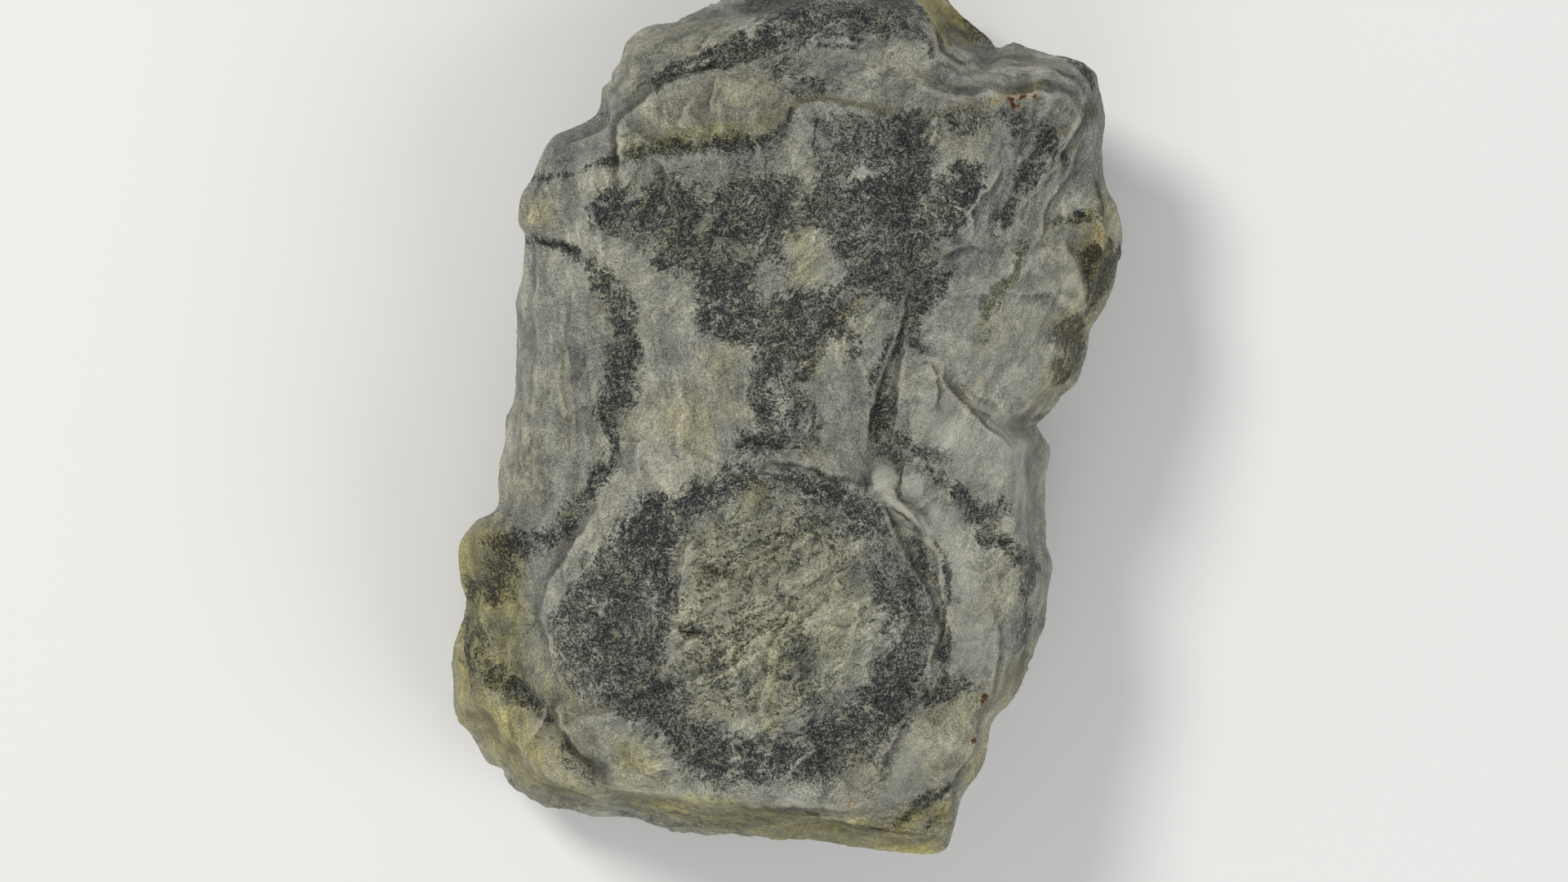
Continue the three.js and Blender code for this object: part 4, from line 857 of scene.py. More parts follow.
# Stains: yellow-cream ochre, green-brown olive, and rust; and the clean white quartz, and the
# blue-grey skin of fine mica.
ochrePatches = {
    "undercut": patch(0.62, 3, [
        (-42, -36), (-37, -42), (-32, -55), (-26, -62), (-34, -65), (-42, -56)]),
    "wedge": patch(1, 0.8, [
        (23.3, 81), (24.3, 72), (25.5, 67), (31, 65.3), (37, 66), (35, 70), (30, 75), (26.5, 80)]),
    "upperSlab": patch(0.24, 3, [
        (-27, 49), (-27, 55), (-23, 59), (-15, 61.5), (-8, 63.5), (-2, 61), (0, 56), (-2, 52),
        (-10, 50.5), (-18, 50), (-25, 49.5)]),
    "topLeft": patch(0.3, 3, [
        (-27, 60), (-27, 67), (-20, 71), (-10, 74), (-9, 70), (-14, 67), (-20, 65)]),
    "funnelHeart": patch(0.55, 2.4, [
        (1, 35.5), (4.5, 35.5), (6, 31), (4.5, 27), (1.5, 26.5), (1, 31)]),
    "eyeTop": patch(0.7, 1.4, [
        (-7, -6), (-4, -5.5), (-2.5, -8), (-3.5, -12), (-7.5, -12.5), (-7.5, -9)]),
    "eyeGround": patch(0.14, 4, [
        (-16, -14), (-4, -9), (8, -13), (14, -22), (14, -38), (3, -47), (-12, -48), (-18, -36)]),
    "slabMiddle": patch(0.38, 3, [
        (-23, 3), (-22, 8), (-17, 11), (-13, 9), (-11, 4), (-14, -2), (-20, 1)]),
    "slabRight": patch(0.35, 2.5, [
        (-14, 16), (-9, 15.5), (-7, 10), (-8, 3), (-12, 5), (-13, 10)]),
    "lobe": patch(1, 3, [
        (-58, -36), (-52, -38), (-49, -41), (-44, -44.5), (-40, -50), (-40, -58), (-36, -61),
        (-28, -62), (-22, -66), (-38, -66), (-48, -61), (-55, -52), (-59, -45)]),
    "lobeUpper": patch(0.85, 3, [
        (-58, -14), (-50, -14), (-45, -20), (-44, -32), (-43, -42), (-50, -44), (-60, -40)]),
    "lowerFan": patch(0.75, 2.6, [
        (-30, -51), (-25, -51.5), (-21, -55), (-20, -59), (-27, -60), (-30, -56)]),
    "strata": patch(0.95, 1.6, [
        (-30, -60.5), (-10, -61.5), (5, -64), (17, -64.5), (24, -62.5), (28, -61), (31, -64),
        (28, -72), (0, -70), (-25, -67)]),
    "slopeRight": patch(0.38, 3, [
        (23, -42), (34, -42), (35, -48), (32, -55), (26, -60), (22, -52)]),
    "rimKnob": patch(0.5, 2, [
        (-45.5, 42), (-41, 42.5), (-39.5, 39), (-40, 36.5), (-45, 36)]),
    "brownRim": patch(1, 1, [
        (55.8, 36), (58.5, 36), (58.5, 29), (56.5, 24), (53.5, 21.5), (54.5, 24), (56.4, 27.5),
        (56.6, 32)]),
    "rightRim": patch(0.62, 3, [
        (50, 38), (54, 46), (57, 45), (59, 35), (57, 24), (53, 12), (46, 4), (42, 2), (46, 12),
        (50, 22), (52, 32)]),
    "lowerRim": patch(0.8, 3, [
        (38, -40), (45, -36), (41, -48), (34, -60), (30, -60), (34, -50)]),
}
ochreBands = {
    "eyeStreak": band(0.5, 1.2, [1, 1.4, 1.2, 1.2, 1.4], [
        (1, -27.5), (0.3, -32), (-1.8, -37), (-2.5, -43), (-2.5, -48.5)]),
    "crackStreak": band(0.85, 0.8, [0.6, 0.9, 0.6], [
        (8.5, 20), (11, 22.3), (13.3, 24)]),
    "slabSpotHigh": band(0.4, 1.2, [1.6, 1.8], [(-11, 61.5), (-9.8, 60.5)]),
    "slabSpotLow": band(0.45, 1.4, [1.8, 1.4], [(-8, 58.5), (-5.5, 58)]),
    "leftRidge": band(0.5, 0.5, [0.4, 0.5, 0.5, 0.4], [
        (-37.6, 17), (-37.9, 11), (-37.2, 5), (-36.8, 0)]),
    "neckSpot": band(0.5, 1.2, [1.2, 1], [(4.5, 13), (5.5, 11.5)]),
    "lobeSpot": band(0.6, 1.4, [1, 1.3], [(-48.5, -26), (-47, -44)]),
    "browSpot": band(0.5, 0.8, [0.8, 0.9, 0.6], [
        (35.5, 58), (39.5, 60), (44, 61)]),
}
olivePatches = {
    "funnel": patch(0.3, 4, [
        (-31, 46), (-6, 46), (-4, 34), (-12, 26), (-22, 32)]),
    "leftBand": patch(0.3, 3, [
        (-34, 32), (-28, 27), (-24, 14), (-26, 0), (-31, -1), (-31, 12), (-30, 22)]),
    "strata": patch(0.6, 1.4, [
        (-28, -61), (-10, -61), (5, -63.5), (20, -66.5), (28, -68), (27, -71), (0, -69),
        (-25, -66)]),
    "funnelHeart": patch(0.25, 2, [
        (0.5, 40), (4.5, 40), (5.5, 50), (2.5, 52)]),
    "eyeGround": patch(0.3, 4, [
        (-16, -14), (-4, -9), (8, -13), (14, -22), (14, -38), (3, -47), (-12, -48), (-18, -36)]),
    "wedge": patch(1, 1, [
        (25, 76), (26, 67.5), (31, 66), (35, 67.5), (31, 73), (27, 79)]),
    "brownPatch": patch(1, 1, [
        (50, 34.5), (54, 36.5), (57.5, 35), (57.5, 31), (56.5, 26.5), (54, 23), (51.5, 22.5),
        (52.2, 26), (51, 29.5), (50, 32)]),
    "brownLow": patch(0.7, 1.6, [
        (50.5, 22.5), (53, 20), (52.5, 16), (50.5, 11), (47, 9), (44, 5), (44, 8), (46, 12),
        (48.5, 15), (46, 17.5), (46.5, 20.5), (49, 21.5)]),
    "lobe": patch(0.5, 3, [
        (-60, -16), (-46, -14), (-44, -30), (-44, -45), (-60, -44)]),
    "lobeLow": patch(0.3, 3, [
        (-60, -44), (-46, -46), (-36, -60), (-30, -68), (-46, -68)]),
}
oliveBands = {
    "thirdBand": band(1, 1.7, [1, 1.4, 1.8, 2, 1.8, 1.5, 1.2, 0.8], [
        (-27.5, 50), (-22, 50.5), (-17.5, 51.8), (-12, 52.4), (-8, 53), (-4, 54.4), (-1, 55.8),
        (0.5, 57.5)]),
    "creaseHigh": band(0.95, 0.5, [0.5, 0.6, 0.6, 0.5, 0.5], [
        (0, 57.3), (3, 58.5), (8.5, 58.8), (13, 57.8), (19, 56.6)]),
    "creaseRight": band(0.6, 0.7, [0.5, 0.7, 0.6, 0.5], [
        (21, 55.3), (26, 56), (30.5, 57), (35, 58)]),
    "mossHigh": band(0.9, 0.7, [0.8, 1, 0.7], [
        (52.5, 55.5), (53.5, 56.2), (54.2, 57)]),
    "mossLow": band(0.9, 0.5, [0.5, 0.5], [(48.6, 50.8), (50, 51.1)]),
    "oliveStreak": band(0.85, 1.1, [0.6, 0.9, 1, 0.8, 0.5], [
        (33.5, 17), (35, 22), (37, 25.5), (39.5, 28.5), (41, 34)]),
    "brownBand": band(0.6, 0.9, [0.8, 1, 1, 0.8], [
        (45, 37), (47.5, 38.5), (51, 38.2), (53.5, 39.2)]),
}
rustPatches = {
    "brownPatch": patch(0.3, 2, [
        (49.5, 35), (54, 38), (59, 37), (60, 31), (58, 25), (55, 21), (51, 21.8), (51.8, 26)]),
    "brownLow": patch(0.34, 2.4, [
        (50, 22.5), (56, 22), (54, 14), (50, 8), (44, 3), (43, 5), (46, 10), (46, 20)]),
    "rim": patch(0.08, 3, [
        (45, 4), (52, 12), (57, 24), (59, 36), (55, 46), (58, 46), (62, 34), (56, 10), (46, 0)]),
}
rustBands = {
    "browLeft": band(1, 0.35, [0.6, 0.65], [(38.5, 58.8), (39.1, 58.5)]),
    "browFoot": band(1, 0.35, [0.55, 0.6], [(39.2, 57.5), (39.9, 57.3)]),
    "browRight": band(1, 0.35, [0.55, 0.75], [(40.5, 58.8), (41, 59.5)]),
    "browDot": band(1, 0.3, [0.55, 0.5], [(42.9, 58.7), (43.1, 59.2)]),
    "browSpeck": band(0.9, 0.3, [0.35, 0.35], [(43.4, 60.5), (43.6, 61)]),
    "browOuter": band(0.9, 0.35, [0.4, 0.4], [(36.1, 58), (36.4, 58.4)]),
    "browSmear": band(0.22, 0.9, [0.5, 0.7, 0.4], [
        (38, 59.5), (41.5, 60.3), (43.5, 60)]),
    "slopeHigh": band(1, 0.5, [0.7, 0.6], [(34.5, -43.8), (34.3, -45)]),
    "slopeMiddle": band(1, 0.5, [0.5, 0.5], [(33.8, -47.5), (33.7, -48.3)]),
    "slopeLow": band(1, 0.5, [0.6, 0.6], [(32.4, -51.4), (32.9, -51.2)]),
    "slopeRun": band(0.3, 0.8, [0.3, 0.5, 0.4], [
        (35, -43), (33.8, -49), (32, -52.5)]),
    "foldSpot": band(0.75, 0.7, [0.5, 0.5], [(11.5, -62.4), (12.1, -62.4)]),
    "wedgeDot": band(0.6, 0.5, [0.5, 0.4], [(27, 71.6), (27.5, 71.3)]),
    "shoulder": band(0.5, 0.8, [0.5, 0.6], [(47, 52.6), (47.6, 53.4)]),
    "ringSpot": band(0.5, 0.5, [0.3, 0.3], [(-29, -12.2), (-29.1, -13.2)]),
}
quartzPatches = {
    "knob": patch(0.85, 0.8, [
        (14.8, -6.2), (15.4, -3.8), (17.6, -2.9), (19.3, -4.2), (19.5, -6.8), (19.2, -8.8),
        (17.2, -9.4), (15.3, -8.6)]),
    "knobRight": patch(0.75, 1, [
        (20, -3.8), (22.5, -3.8), (24.5, -6.5), (23.5, -10), (20.5, -9.5), (19.9, -6.5)]),
    "tongue": patch(0.9, 0.8, [
        (15.6, -9.4), (18.5, -10), (21.5, -11.3), (24.5, -12.8), (26, -16), (24.6, -16.4),
        (22.5, -14.5), (19, -13)]),
    "rightBand": patch(0.7, 1.8, [
        (21, -8), (26, -10), (30, -14), (31.5, -20), (34.5, -28), (36.5, -36), (32, -39.5),
        (29.5, -38), (28.8, -32), (29.4, -27), (28.5, -21), (26.5, -16), (24.5, -12)]),
    "saddle": patch(0.6, 2, [
        (27.5, 8.5), (30.5, 5), (35, 2), (38.5, -0.5), (39.5, -5), (36, -8), (31, -6.5),
        (25, -1), (22, 3), (23, 8)]),
    # Partly pale clean stone, partly painted light lifting the right strip that falls away from the
    # lamps.
    "saddleRight": patch(1, 1.5, [
        (30, 9), (36, 5.5), (42, 3), (47, 0), (47, -12), (41, -15), (39, -4), (34, 3)]),
    "brow": patch(0.45, 1.5, [
        (26.5, 60.5), (30, 63.3), (38, 64), (45, 64), (48.5, 60), (45, 61.5), (38, 60.3),
        (30, 59.5)]),
    "lobeEdge": patch(0.6, 1.2, [
        (47.5, 32.5), (49.5, 31.5), (51.5, 26), (50, 22), (47.5, 23.5), (46.5, 28)]),
    "rightLobe": patch(0.4, 4, [
        (27, 12), (30, 22), (33, 28), (40, 32), (47, 32), (49, 24), (48, 16), (44, 8), (35, 5)]),
    "foldCap": patch(0.5, 2, [
        (20, -51), (24, -51), (25.5, -57), (22, -61), (18, -62.5), (16.5, -66), (14, -65),
        (17, -59)]),
}
slatePatches = {
    "upperLeft": patch(0.8, 1.8, [
        (-39.5, 53), (-33, 56), (-28.5, 58), (-29, 52), (-28.3, 48), (-35, 46), (-42, 46.5)]),
    "upperRim": patch(0.4, 2.5, [
        (-46, 46), (-40, 53), (-31, 60), (-28, 69), (-26, 66), (-30, 57), (-38, 50), (-43, 42)]),
    "top": patch(0.6, 4, [
        (-26, 63), (-24, 71), (-10, 77), (0, 81), (22, 81), (25, 68), (10, 64), (0, 66),
        (-10, 67), (-20, 64)]),
    "leftStrip": patch(0.12, 1.2, [
        (-36.2, 20), (-33, 20.5), (-32.5, 8), (-32, -4), (-36, -5), (-36.2, 8)]),
    "leftHigh": patch(0.4, 3, [
        (-45, 33), (-38, 31), (-33, 27), (-36, 20), (-45, 18)]),
    "rightStrip": patch(0.8, 3, [
        (27, 18), (32, 18), (34, 30), (40, 44), (42, 54), (36, 54), (32, 42), (27, 32)]),
    "rightShoulder": patch(0.78, 3, [
        (44, 66), (56, 62), (57, 46), (52, 40), (46, 44), (48, 54), (44, 60)]),
    "bottom": patch(0.6, 2.4, [
        (-50, -60), (-28, -60.5), (0, -61.5), (10, -63.5), (16, -66), (16, -72), (-20, -70)]),
    "besideRing": patch(0.35, 2.4, [
        (-45, -24), (-41, -24), (-38, -36), (-36, -44), (-41, -46), (-45, -38)]),
    "creaseLight": patch(0.8, 2.4, [
        (24, 57), (25, 65), (40, 64), (46, 62), (40, 58), (30, 58)]),
    "neckSide": patch(0.45, 2.4, [
        (6, 2), (6, 14), (12, 15), (14, 6), (12, 0)]),
    "wedge": patch(0.12, 1, [
        (23.3, 81), (24.3, 72), (25.5, 67), (31, 65.3), (37, 66), (35, 72), (28, 82)]),
    "undercutFoot": patch(0.4, 2, [
        (-38, -46), (-34, -46), (-30, -56), (-33, -58), (-39, -50)]),
    "slabHigh": patch(0.25, 2.5, [
        (-14, 56), (-14, 64), (-6, 64), (-4, 57)]),
    "neckFoot": patch(0.2, 2, [
        (-10, -4), (-8, 2), (6, 3), (8, -4), (0, -5)]),
    "brow": patch(0.6, 1.6, [
        (26, 66), (32, 65), (44, 66), (52, 62), (50, 64), (46, 67), (34, 69)]),
    "shoulder": patch(0.3, 3, [
        (36, 56), (44, 57), (48, 51), (44, 44), (38, 40), (36, 47)]),
    "underSlab": patch(0.45, 2, [
        (-26, 45), (-25, 49), (-4, 51), (-1, 47), (-12, 45.5)]),
    "crease": patch(0.45, 3, [
        (3, 57), (12, 58), (22, 57), (34, 58), (35, 52), (24, 48), (8, 48)]),
    "topRight": patch(0.65, 3, [
        (0, 82), (26, 82), (26, 68), (18, 67), (8, 74), (0, 76)]),
    "lobeStrip": patch(0.3, 3, [
        (-52, -12), (-42, -12), (-38, -20), (-43, -32), (-42, -44), (-48, -34), (-52, -22)]),
}

# Bare places in shadow that no ledge explains: under the knob, along the brow and in the cleft.
shadeBands = {
    "underKnob": band(0.75, 1, [0.6, 0.8, 0.4], [
        (11, -6), (13.9, -5.8), (14.4, -7.6)]),
    "besideKnob": band(0.5, 0.5, [0.3, 0.4, 0.3], [
        (18.6, -2.6), (19.6, -5), (19.6, -8.4)]),
    "cleftLine": band(0.85, 0.5, [0.3, 0.4, 0.4, 0.3], [
        (20.2, 17), (18.9, 10), (19, 4), (18.6, -2)]),
    "ringTop": band(0.4, 0.8, [0.4, 0.6, 0.5], [
        (-5, -4), (2, -4.6), (9, -6.4)]),
    "brow": band(0.75, 0.6, [0.8, 0.5, 0.35, 0.35, 0.3], [
        (25.5, 67.5), (29, 65.3), (34.5, 64.7), (44, 65), (49.5, 62.3)]),
    "eyeFoot": band(0.45, 0.6, [0.4, 0.6, 0.4], [
        (-36.5, -50.8), (-33, -55.3), (-29.5, -59.5)]),
    "neckCrack": band(0.6, 0.5, [0.1, 0.3, 0.35, 0.3, 0.2, 0.1], [
        (-9.8, -1.8), (-8, -0.4), (-6, 0), (-3.5, -0.7), (0, -2), (3, -3.2)]),
}


# Signed distance to a closed outline, positive inside: the distance to the nearest edge, with the
# sign of whether a line to the right of the point crosses the outline an odd number of times.
def insideDistance(points, x, y):
    loop = list(points) + [points[0]]
    gap = np.abs(nearest(loop, x, y)[0])
    odd = np.zeros(np.shape(x), bool)
    for (px, py), (qx, qy) in zip(loop, loop[1:]):
        if py != qy:
            spans = (py > y) != (qy > y)
            odd ^= spans & (x < (qx - px) * (y - py) / (qy - py) + px)
    return np.where(odd, gap, -gap)


# Half of the ground is taken at the edge; it rises and falls over the softness on both sides.
def feathered(distance, mark):
    return mark["level"] * smooth(0.5 + distance / (2 * mark["soft"]))


def marked(patches, bands, x, y):
    total = np.zeros(np.shape(x))
    for mark in patches.values():
        total = np.maximum(total, feathered(insideDistance(mark["outline"], x, y), mark))
    for mark in bands.values():
        distance, share = nearest(mark["path"], x, y)
        points = np.array(mark["path"], float)
        lengths = np.linalg.norm(np.diff(points, axis=0), axis=1)
        stops = np.concatenate([[0], np.cumsum(lengths)]) / lengths.sum()
        half = np.interp(share, stops, mark["half"])
        total = np.maximum(total, feathered(half - np.abs(distance), mark))
    return total


# How much mica: the patches, bands and eye ring, less the clear ground.
def micaAt(x, y):
    dark = marked(micaPatches, micaBands, x, y)
    outer = insideDistance(eyeRing["outer"], x, y)
    inner = insideDistance(eyeRing["inner"], x, y)
    dark = np.maximum(dark, feathered(np.minimum(outer, -inner), eyeRing))
    within = smooth(0.5 + inner / (2 * eyeRing["soft"]))
    dark = np.maximum(dark, eyeRing["insideLevel"] * within)
    return dark * (1 - marked(clearPatches, clearBands, x, y))


# The grain lies upright in the plan, steep to the right, slanting, or level along the lower edge.
# Each place says how strongly it draws the grain round to its own lie; the shares are bells round
# the places, made to add to 1.
lies = {"upright": 96, "steep": 63, "slanting": 34, "level": -5}  # degrees from +X in plan
liePlaces = [
    dict(lie="upright", at=(-42, 8), reach=(13, 40), pull=1.0),
    dict(lie="upright", at=(-18, 4), reach=(11, 18), pull=0.8),
    dict(lie="upright", at=(-12, 52), reach=(30, 9), pull=0.9),
    dict(lie="upright", at=(9, 4), reach=(7, 16), pull=0.8),
    dict(lie="upright", at=(-46, -48), reach=(12, 12), pull=0.8),
    dict(lie="steep", at=(40, 24), reach=(18, 34), pull=1.2),
    dict(lie="steep", at=(34, -34), reach=(10, 26), pull=0.8),
    dict(lie="steep", at=(-34, -24), reach=(7, 20), pull=0.7),
    dict(lie="slanting", at=(-2, 34), reach=(26, 15), pull=0.8),
    dict(lie="slanting", at=(-4, -32), reach=(28, 24), pull=1.0),
    dict(lie="slanting", at=(-4, 70), reach=(24, 7), pull=0.9),
    dict(lie="slanting", at=(-17, 64), reach=(11, 4.5), pull=3.0),
    dict(lie="level", at=(0, -67), reach=(34, 4.5), pull=3.0),
    dict(lie="level", at=(38, 64), reach=(12, 4), pull=2.0),
]


leastPull = 0.02  # of every lie, everywhere


def lieShares(x, y):
    shares = {lie: np.full(np.shape(x), leastPull) for lie in lies}
    for place in liePlaces:
        dx, dy = x - place["at"][0], y - place["at"][1]
        bell = np.exp(-((dx / place["reach"][0]) ** 2) - (dy / place["reach"][1]) ** 2)
        shares[place["lie"]] = shares[place["lie"]] + place["pull"] * bell
    total = sum(shares.values())
    return [share / total for share in shares.values()]


# Noise drawn out along the grain: for each lie it is read along and across that direction, and the
# four are added by their shares.
def grained(x, y, z, shares, along, across, octaves):
    total = 0
    for share, degrees in zip(shares, lies.values()):
        angle = math.radians(degrees)
        run = (x * math.cos(angle) + y * math.sin(angle)) / along
        side = (y * math.cos(angle) - x * math.sin(angle)) / across
        total = total + share * roughness(run + degrees, side, z / along, octaves)
    return total


def meshFrom(name, points, faces):
    mesh = bpy.data.meshes.new(name)
    mesh.from_pydata((points * metre).tolist(), [], faces)
    mesh.polygons.foreach_set("use_smooth", np.ones(len(faces), bool))
    mesh.update()
    thing = bpy.data.objects.new(name, mesh)
    bpy.context.scene.collection.objects.link(thing)
    return thing


def readNormals(thing):
    normals = np.empty(3 * len(thing.data.vertices), np.float32)
    thing.data.vertex_normals.foreach_get("vector", normals)
    return normals.reshape(-1, 3).astype(float)


# All the points, the sheet first, then ring after ring, then the middle of the underside; and the
# faces between them, four-cornered but for the last fan.
def skinGrid():
    columns, rows = stone["sheetColumns"], stone["sheetRows"]
    plan = sheetPlan(columns, rows)
    acrossRows, acrossColumns = np.arange(rows), np.arange(columns)
    edgeRow = np.concatenate([acrossRows, np.full(columns, rows), rows - acrossRows,
                              np.zeros(columns, int)])
    edgeColumn = np.concatenate([np.full(rows, columns), columns - acrossColumns,
                                 np.zeros(rows, int), acrossColumns])
    edge = np.vstack([pointOn(outlineCurve, side, np.arange(cells) / cells)
                      for side, cells in enumerate((rows, columns, rows, columns))])
    rings = ringsBelow(plan[edgeRow, edgeColumn], edge)
    points = np.vstack([facePoints(plan).reshape(-1, 3), *rings, [[*middle, 0]]])

    index = np.arange((rows + 1) * (columns + 1)).reshape(rows + 1, columns + 1)
    sheet = np.dstack([index[:-1, :-1], index[:-1, 1:], index[1:, 1:], index[1:, :-1]])
    count = len(edge)
    ringIndex = [index[edgeRow, edgeColumn]]
    ringIndex += [index.size + level * count + np.arange(count) for level in range(len(rings))]
    ringIndex = np.array(ringIndex)
    after = np.roll(ringIndex, -1, axis=1)
    walls = np.dstack([ringIndex[:-1], ringIndex[1:], after[1:], after[:-1]])
    quads = np.vstack([sheet.reshape(-1, 4), walls.reshape(-1, 4)])
    last = ringIndex[-1]
    fan = np.column_stack([last, np.full(count, len(points) - 1), np.roll(last, -1)])
    return points, quads.tolist() + fan.tolist(), len(rings)


# The finer relief: the height of each kind and its wave length in millimetres. Mica has more of the
# flakes and grit than plain ground, and the sides have more of everything. Clean quartz, a band a
# little below the face and two sharp corners of the outline are calmer.
relief = dict(
    lumps=0.4, lumpWave=7, dishes=0.45, planes=0.55, dishWave=7.5, dishMean=0.42,
    dishesOnPlain=0.66, flakes=0.25, chips=0.28, flakeWave=3.1, flakeShift=7, flakesOnPlain=0.6,
    flakesOnMica=0.6, flakeTurn=76, flakeLength=1.8, bend=1.6, bendWave=4, ribs=0.2, ribWave=1.3,
    ribLength=7, grit=0.25, gritWave=1.1, gritOnPlain=0.25, sideGain=1.3, sideDrop=12, sideSpan=8,
    quartzCalm=0.8, rimCalm=0.6, rimDrop=7, rimSpan=6, corners=[(45.8, -0.7), (46, -21.8)],
    cornerReach=2.6, cornerCalm=0.9)


# The relief goes along the surface's own direction: low lumps, dishes of two sizes drawn out
# upwards with the grain, ribs that run with the grain, and grit.
def reliefAt(x, y, z, shares, mica, quartz, drop):
    def at(wave, shiftX=0, shiftY=0):
        return x / wave + shiftX, y / wave + shiftY, z / wave

    lumpy = roughness(*at(relief["lumpWave"]), 2)
    bendX = x + relief["bend"] * roughness(*at(relief["bendWave"], 3), 2)
    bendY = y + relief["bend"] * roughness(*at(relief["bendWave"], 0, 9), 2)
    turn = math.radians(relief["flakeTurn"])
    run = (bendX * math.cos(turn) + bendY * math.sin(turn)) / relief["flakeLength"]
    side = bendY * math.cos(turn) - bendX * math.sin(turn)
    wide, widePlane = flaked(*(part / relief["dishWave"] for part in (run, side, z)))
    small, smallPlane = flaked(*(part / relief["flakeWave"] + relief["flakeShift"]
                                 for part in (run, side, z)))
    ribs = grained(x, y, z, shares, relief["ribLength"], relief["ribWave"], 2)
    grit = roughness(*at(relief["gritWave"], 11), 2)
    below = smooth((drop - relief["sideDrop"]) / relief["sideSpan"])
    calm = (1 - relief["quartzCalm"] * quartz) * (1 + (relief["sideGain"] - 1) * below)
    rim = np.exp(-(((drop - relief["rimDrop"]) / relief["rimSpan"]) ** 2))
    calm = calm * (1 - relief["rimCalm"] * rim)
    for cx, cy in relief["corners"]:
        away = ((x - cx) ** 2 + (y - cy) ** 2) / relief["cornerReach"] ** 2
        calm = calm * (1 - relief["cornerCalm"] * np.exp(-away))
    wide = relief["dishes"] * (wide - relief["dishMean"]) + relief["planes"] * widePlane
    wide = wide * (relief["dishesOnPlain"] + (1 - relief["dishesOnPlain"]) * mica)
    small = relief["flakes"] * (small - relief["dishMean"]) + relief["chips"] * smallPlane
    broken = wide + small * (relief["flakesOnPlain"] + relief["flakesOnMica"] * mica)
    return calm * (relief["lumps"] * lumpy + broken + relief["ribs"] * ribs
                   + relief["grit"] * grit * (relief["gritOnPlain"] + mica))


# Rounds of averaging for the near and the far neighbourhood, and the height that counts as whole.
neighbourhoods = [dict(rounds=8, full=0.13), dict(rounds=42, full=0.75)]
proudShare = 0.6


# How far each point stands proud of its neighbourhood, along its normal: its place less the mean of
# its neighbours' places, taken over a few rounds for the near and over many for the far.
def proudness(points, normals, edges):
    count = np.bincount(edges.ravel(), minlength=len(points))
    mean, proud = points.copy(), 0
    for neighbourhood in neighbourhoods:
        for _ in range(neighbourhood["rounds"]):
            near = np.column_stack([
                np.bincount(edges[:, 0], mean[edges[:, 1], k], len(points))
                + np.bincount(edges[:, 1], mean[edges[:, 0], k], len(points)) for k in range(3)])
            mean = (mean + near / count[:, None]) / 2
        height = ((points - mean) * normals).sum(1)
        proud = proud + proudShare * height / neighbourhood["full"]
    return np.clip(proud, -1, 1)


# How the pattern of the face goes down through the stone. With the depth below the top level it
# leans over, a slow warp grows and the clean quartz fades. With the drop below the face's own form
# mica fades on the right, and the stains, the rust, and the shade and lines of the edges all round.
# A small wobble frays the edges of the mica.
pattern = dict(
    top=44, leanX=0.06, leanY=-0.05, warp=17, warpSpan=30, warpWave=22, warpWaveDown=16,
    wobble=1.5, wobbleWave=3.5, micaFade=0.6, micaDrop=11, micaSpan=8, micaFrom=40, micaAcross=6,
    stainFade=0.6, stainDrop=9, stainSpan=12, rustSpan=6, quartzSpan=25, edgeSpan=4)


# What every point is made of and how it is stained, with the painted shade and painted highlight
# of its edges, by name, and its drop below the face's form.
def groundAt(x, y, z):
    form, shade, crestHighlight, (lineGap, line, pale) = faceForm(x, y)
    depth, drop = np.maximum(0, pattern["top"] - z), form - z
    wave, down = pattern["warpWave"], z / pattern["warpWaveDown"]
    warp = pattern["warp"] * clamp(depth / pattern["warpSpan"])
    px = x + warp * roughness(x / wave + 4, y / wave, down, 4) + depth * pattern["leanX"]
    py = y + warp * roughness(x / wave, y / wave + 8, down, 4) + depth * pattern["leanY"]
    fineX, fineY, fineZ = (part / pattern["wobbleWave"] for part in (x, y, z))
    wobbleX = pattern["wobble"] * roughness(fineX + 5, fineY, fineZ, 3)
    wobbleY = pattern["wobble"] * roughness(fineX, fineY + 5, fineZ, 3)
    right = smooth((x - pattern["micaFrom"]) / pattern["micaAcross"])
    bared = smooth((drop - pattern["micaDrop"]) / pattern["micaSpan"]) * right
    faded = smooth((drop - pattern["stainDrop"]) / pattern["stainSpan"])
    stained = 1 - pattern["stainFade"] * faded
    upper = clamp(1 - drop / pattern["edgeSpan"])
    return drop, dict(
        mica=micaAt(px + wobbleX, py + wobbleY) * (1 - pattern["micaFade"] * bared),
        quartz=marked(quartzPatches, {}, px, py) * clamp(1 - depth / pattern["quartzSpan"]),
        slate=marked(slatePatches, {}, px, py),
        ochre=marked(ochrePatches, ochreBands, px, py) * stained,
        olive=marked(olivePatches, oliveBands, px, py) * stained,
        rust=marked(rustPatches, rustBands, x, y) * clamp(1 - drop / pattern["rustSpan"]),
        shade=np.maximum(shade, marked({}, shadeBands, x, y)) * upper,
        crestHighlight=crestHighlight * upper, lineGap=lineGap, line=line * upper, pale=pale)


# The attributes that the stone's finish reads, three values in each. The relief holds how proud
# each point stands, which the finish turns into painted shade in hollows and a painted highlight
# on ridges, then the painted shade at feet and in cracks and the painted highlight on crests. The
# line holds the thin painted shadow and highlight lines along edges.
attributes = {
    "minerals": ("mica", "quartz", "slate"), "stains": ("ochre", "olive", "rust"),
    "relief": ("proud", "shade", "crestHighlight"), "line": ("lineGap", "line", "pale"),
    "lie": ("upright", "steep", "slanting")}


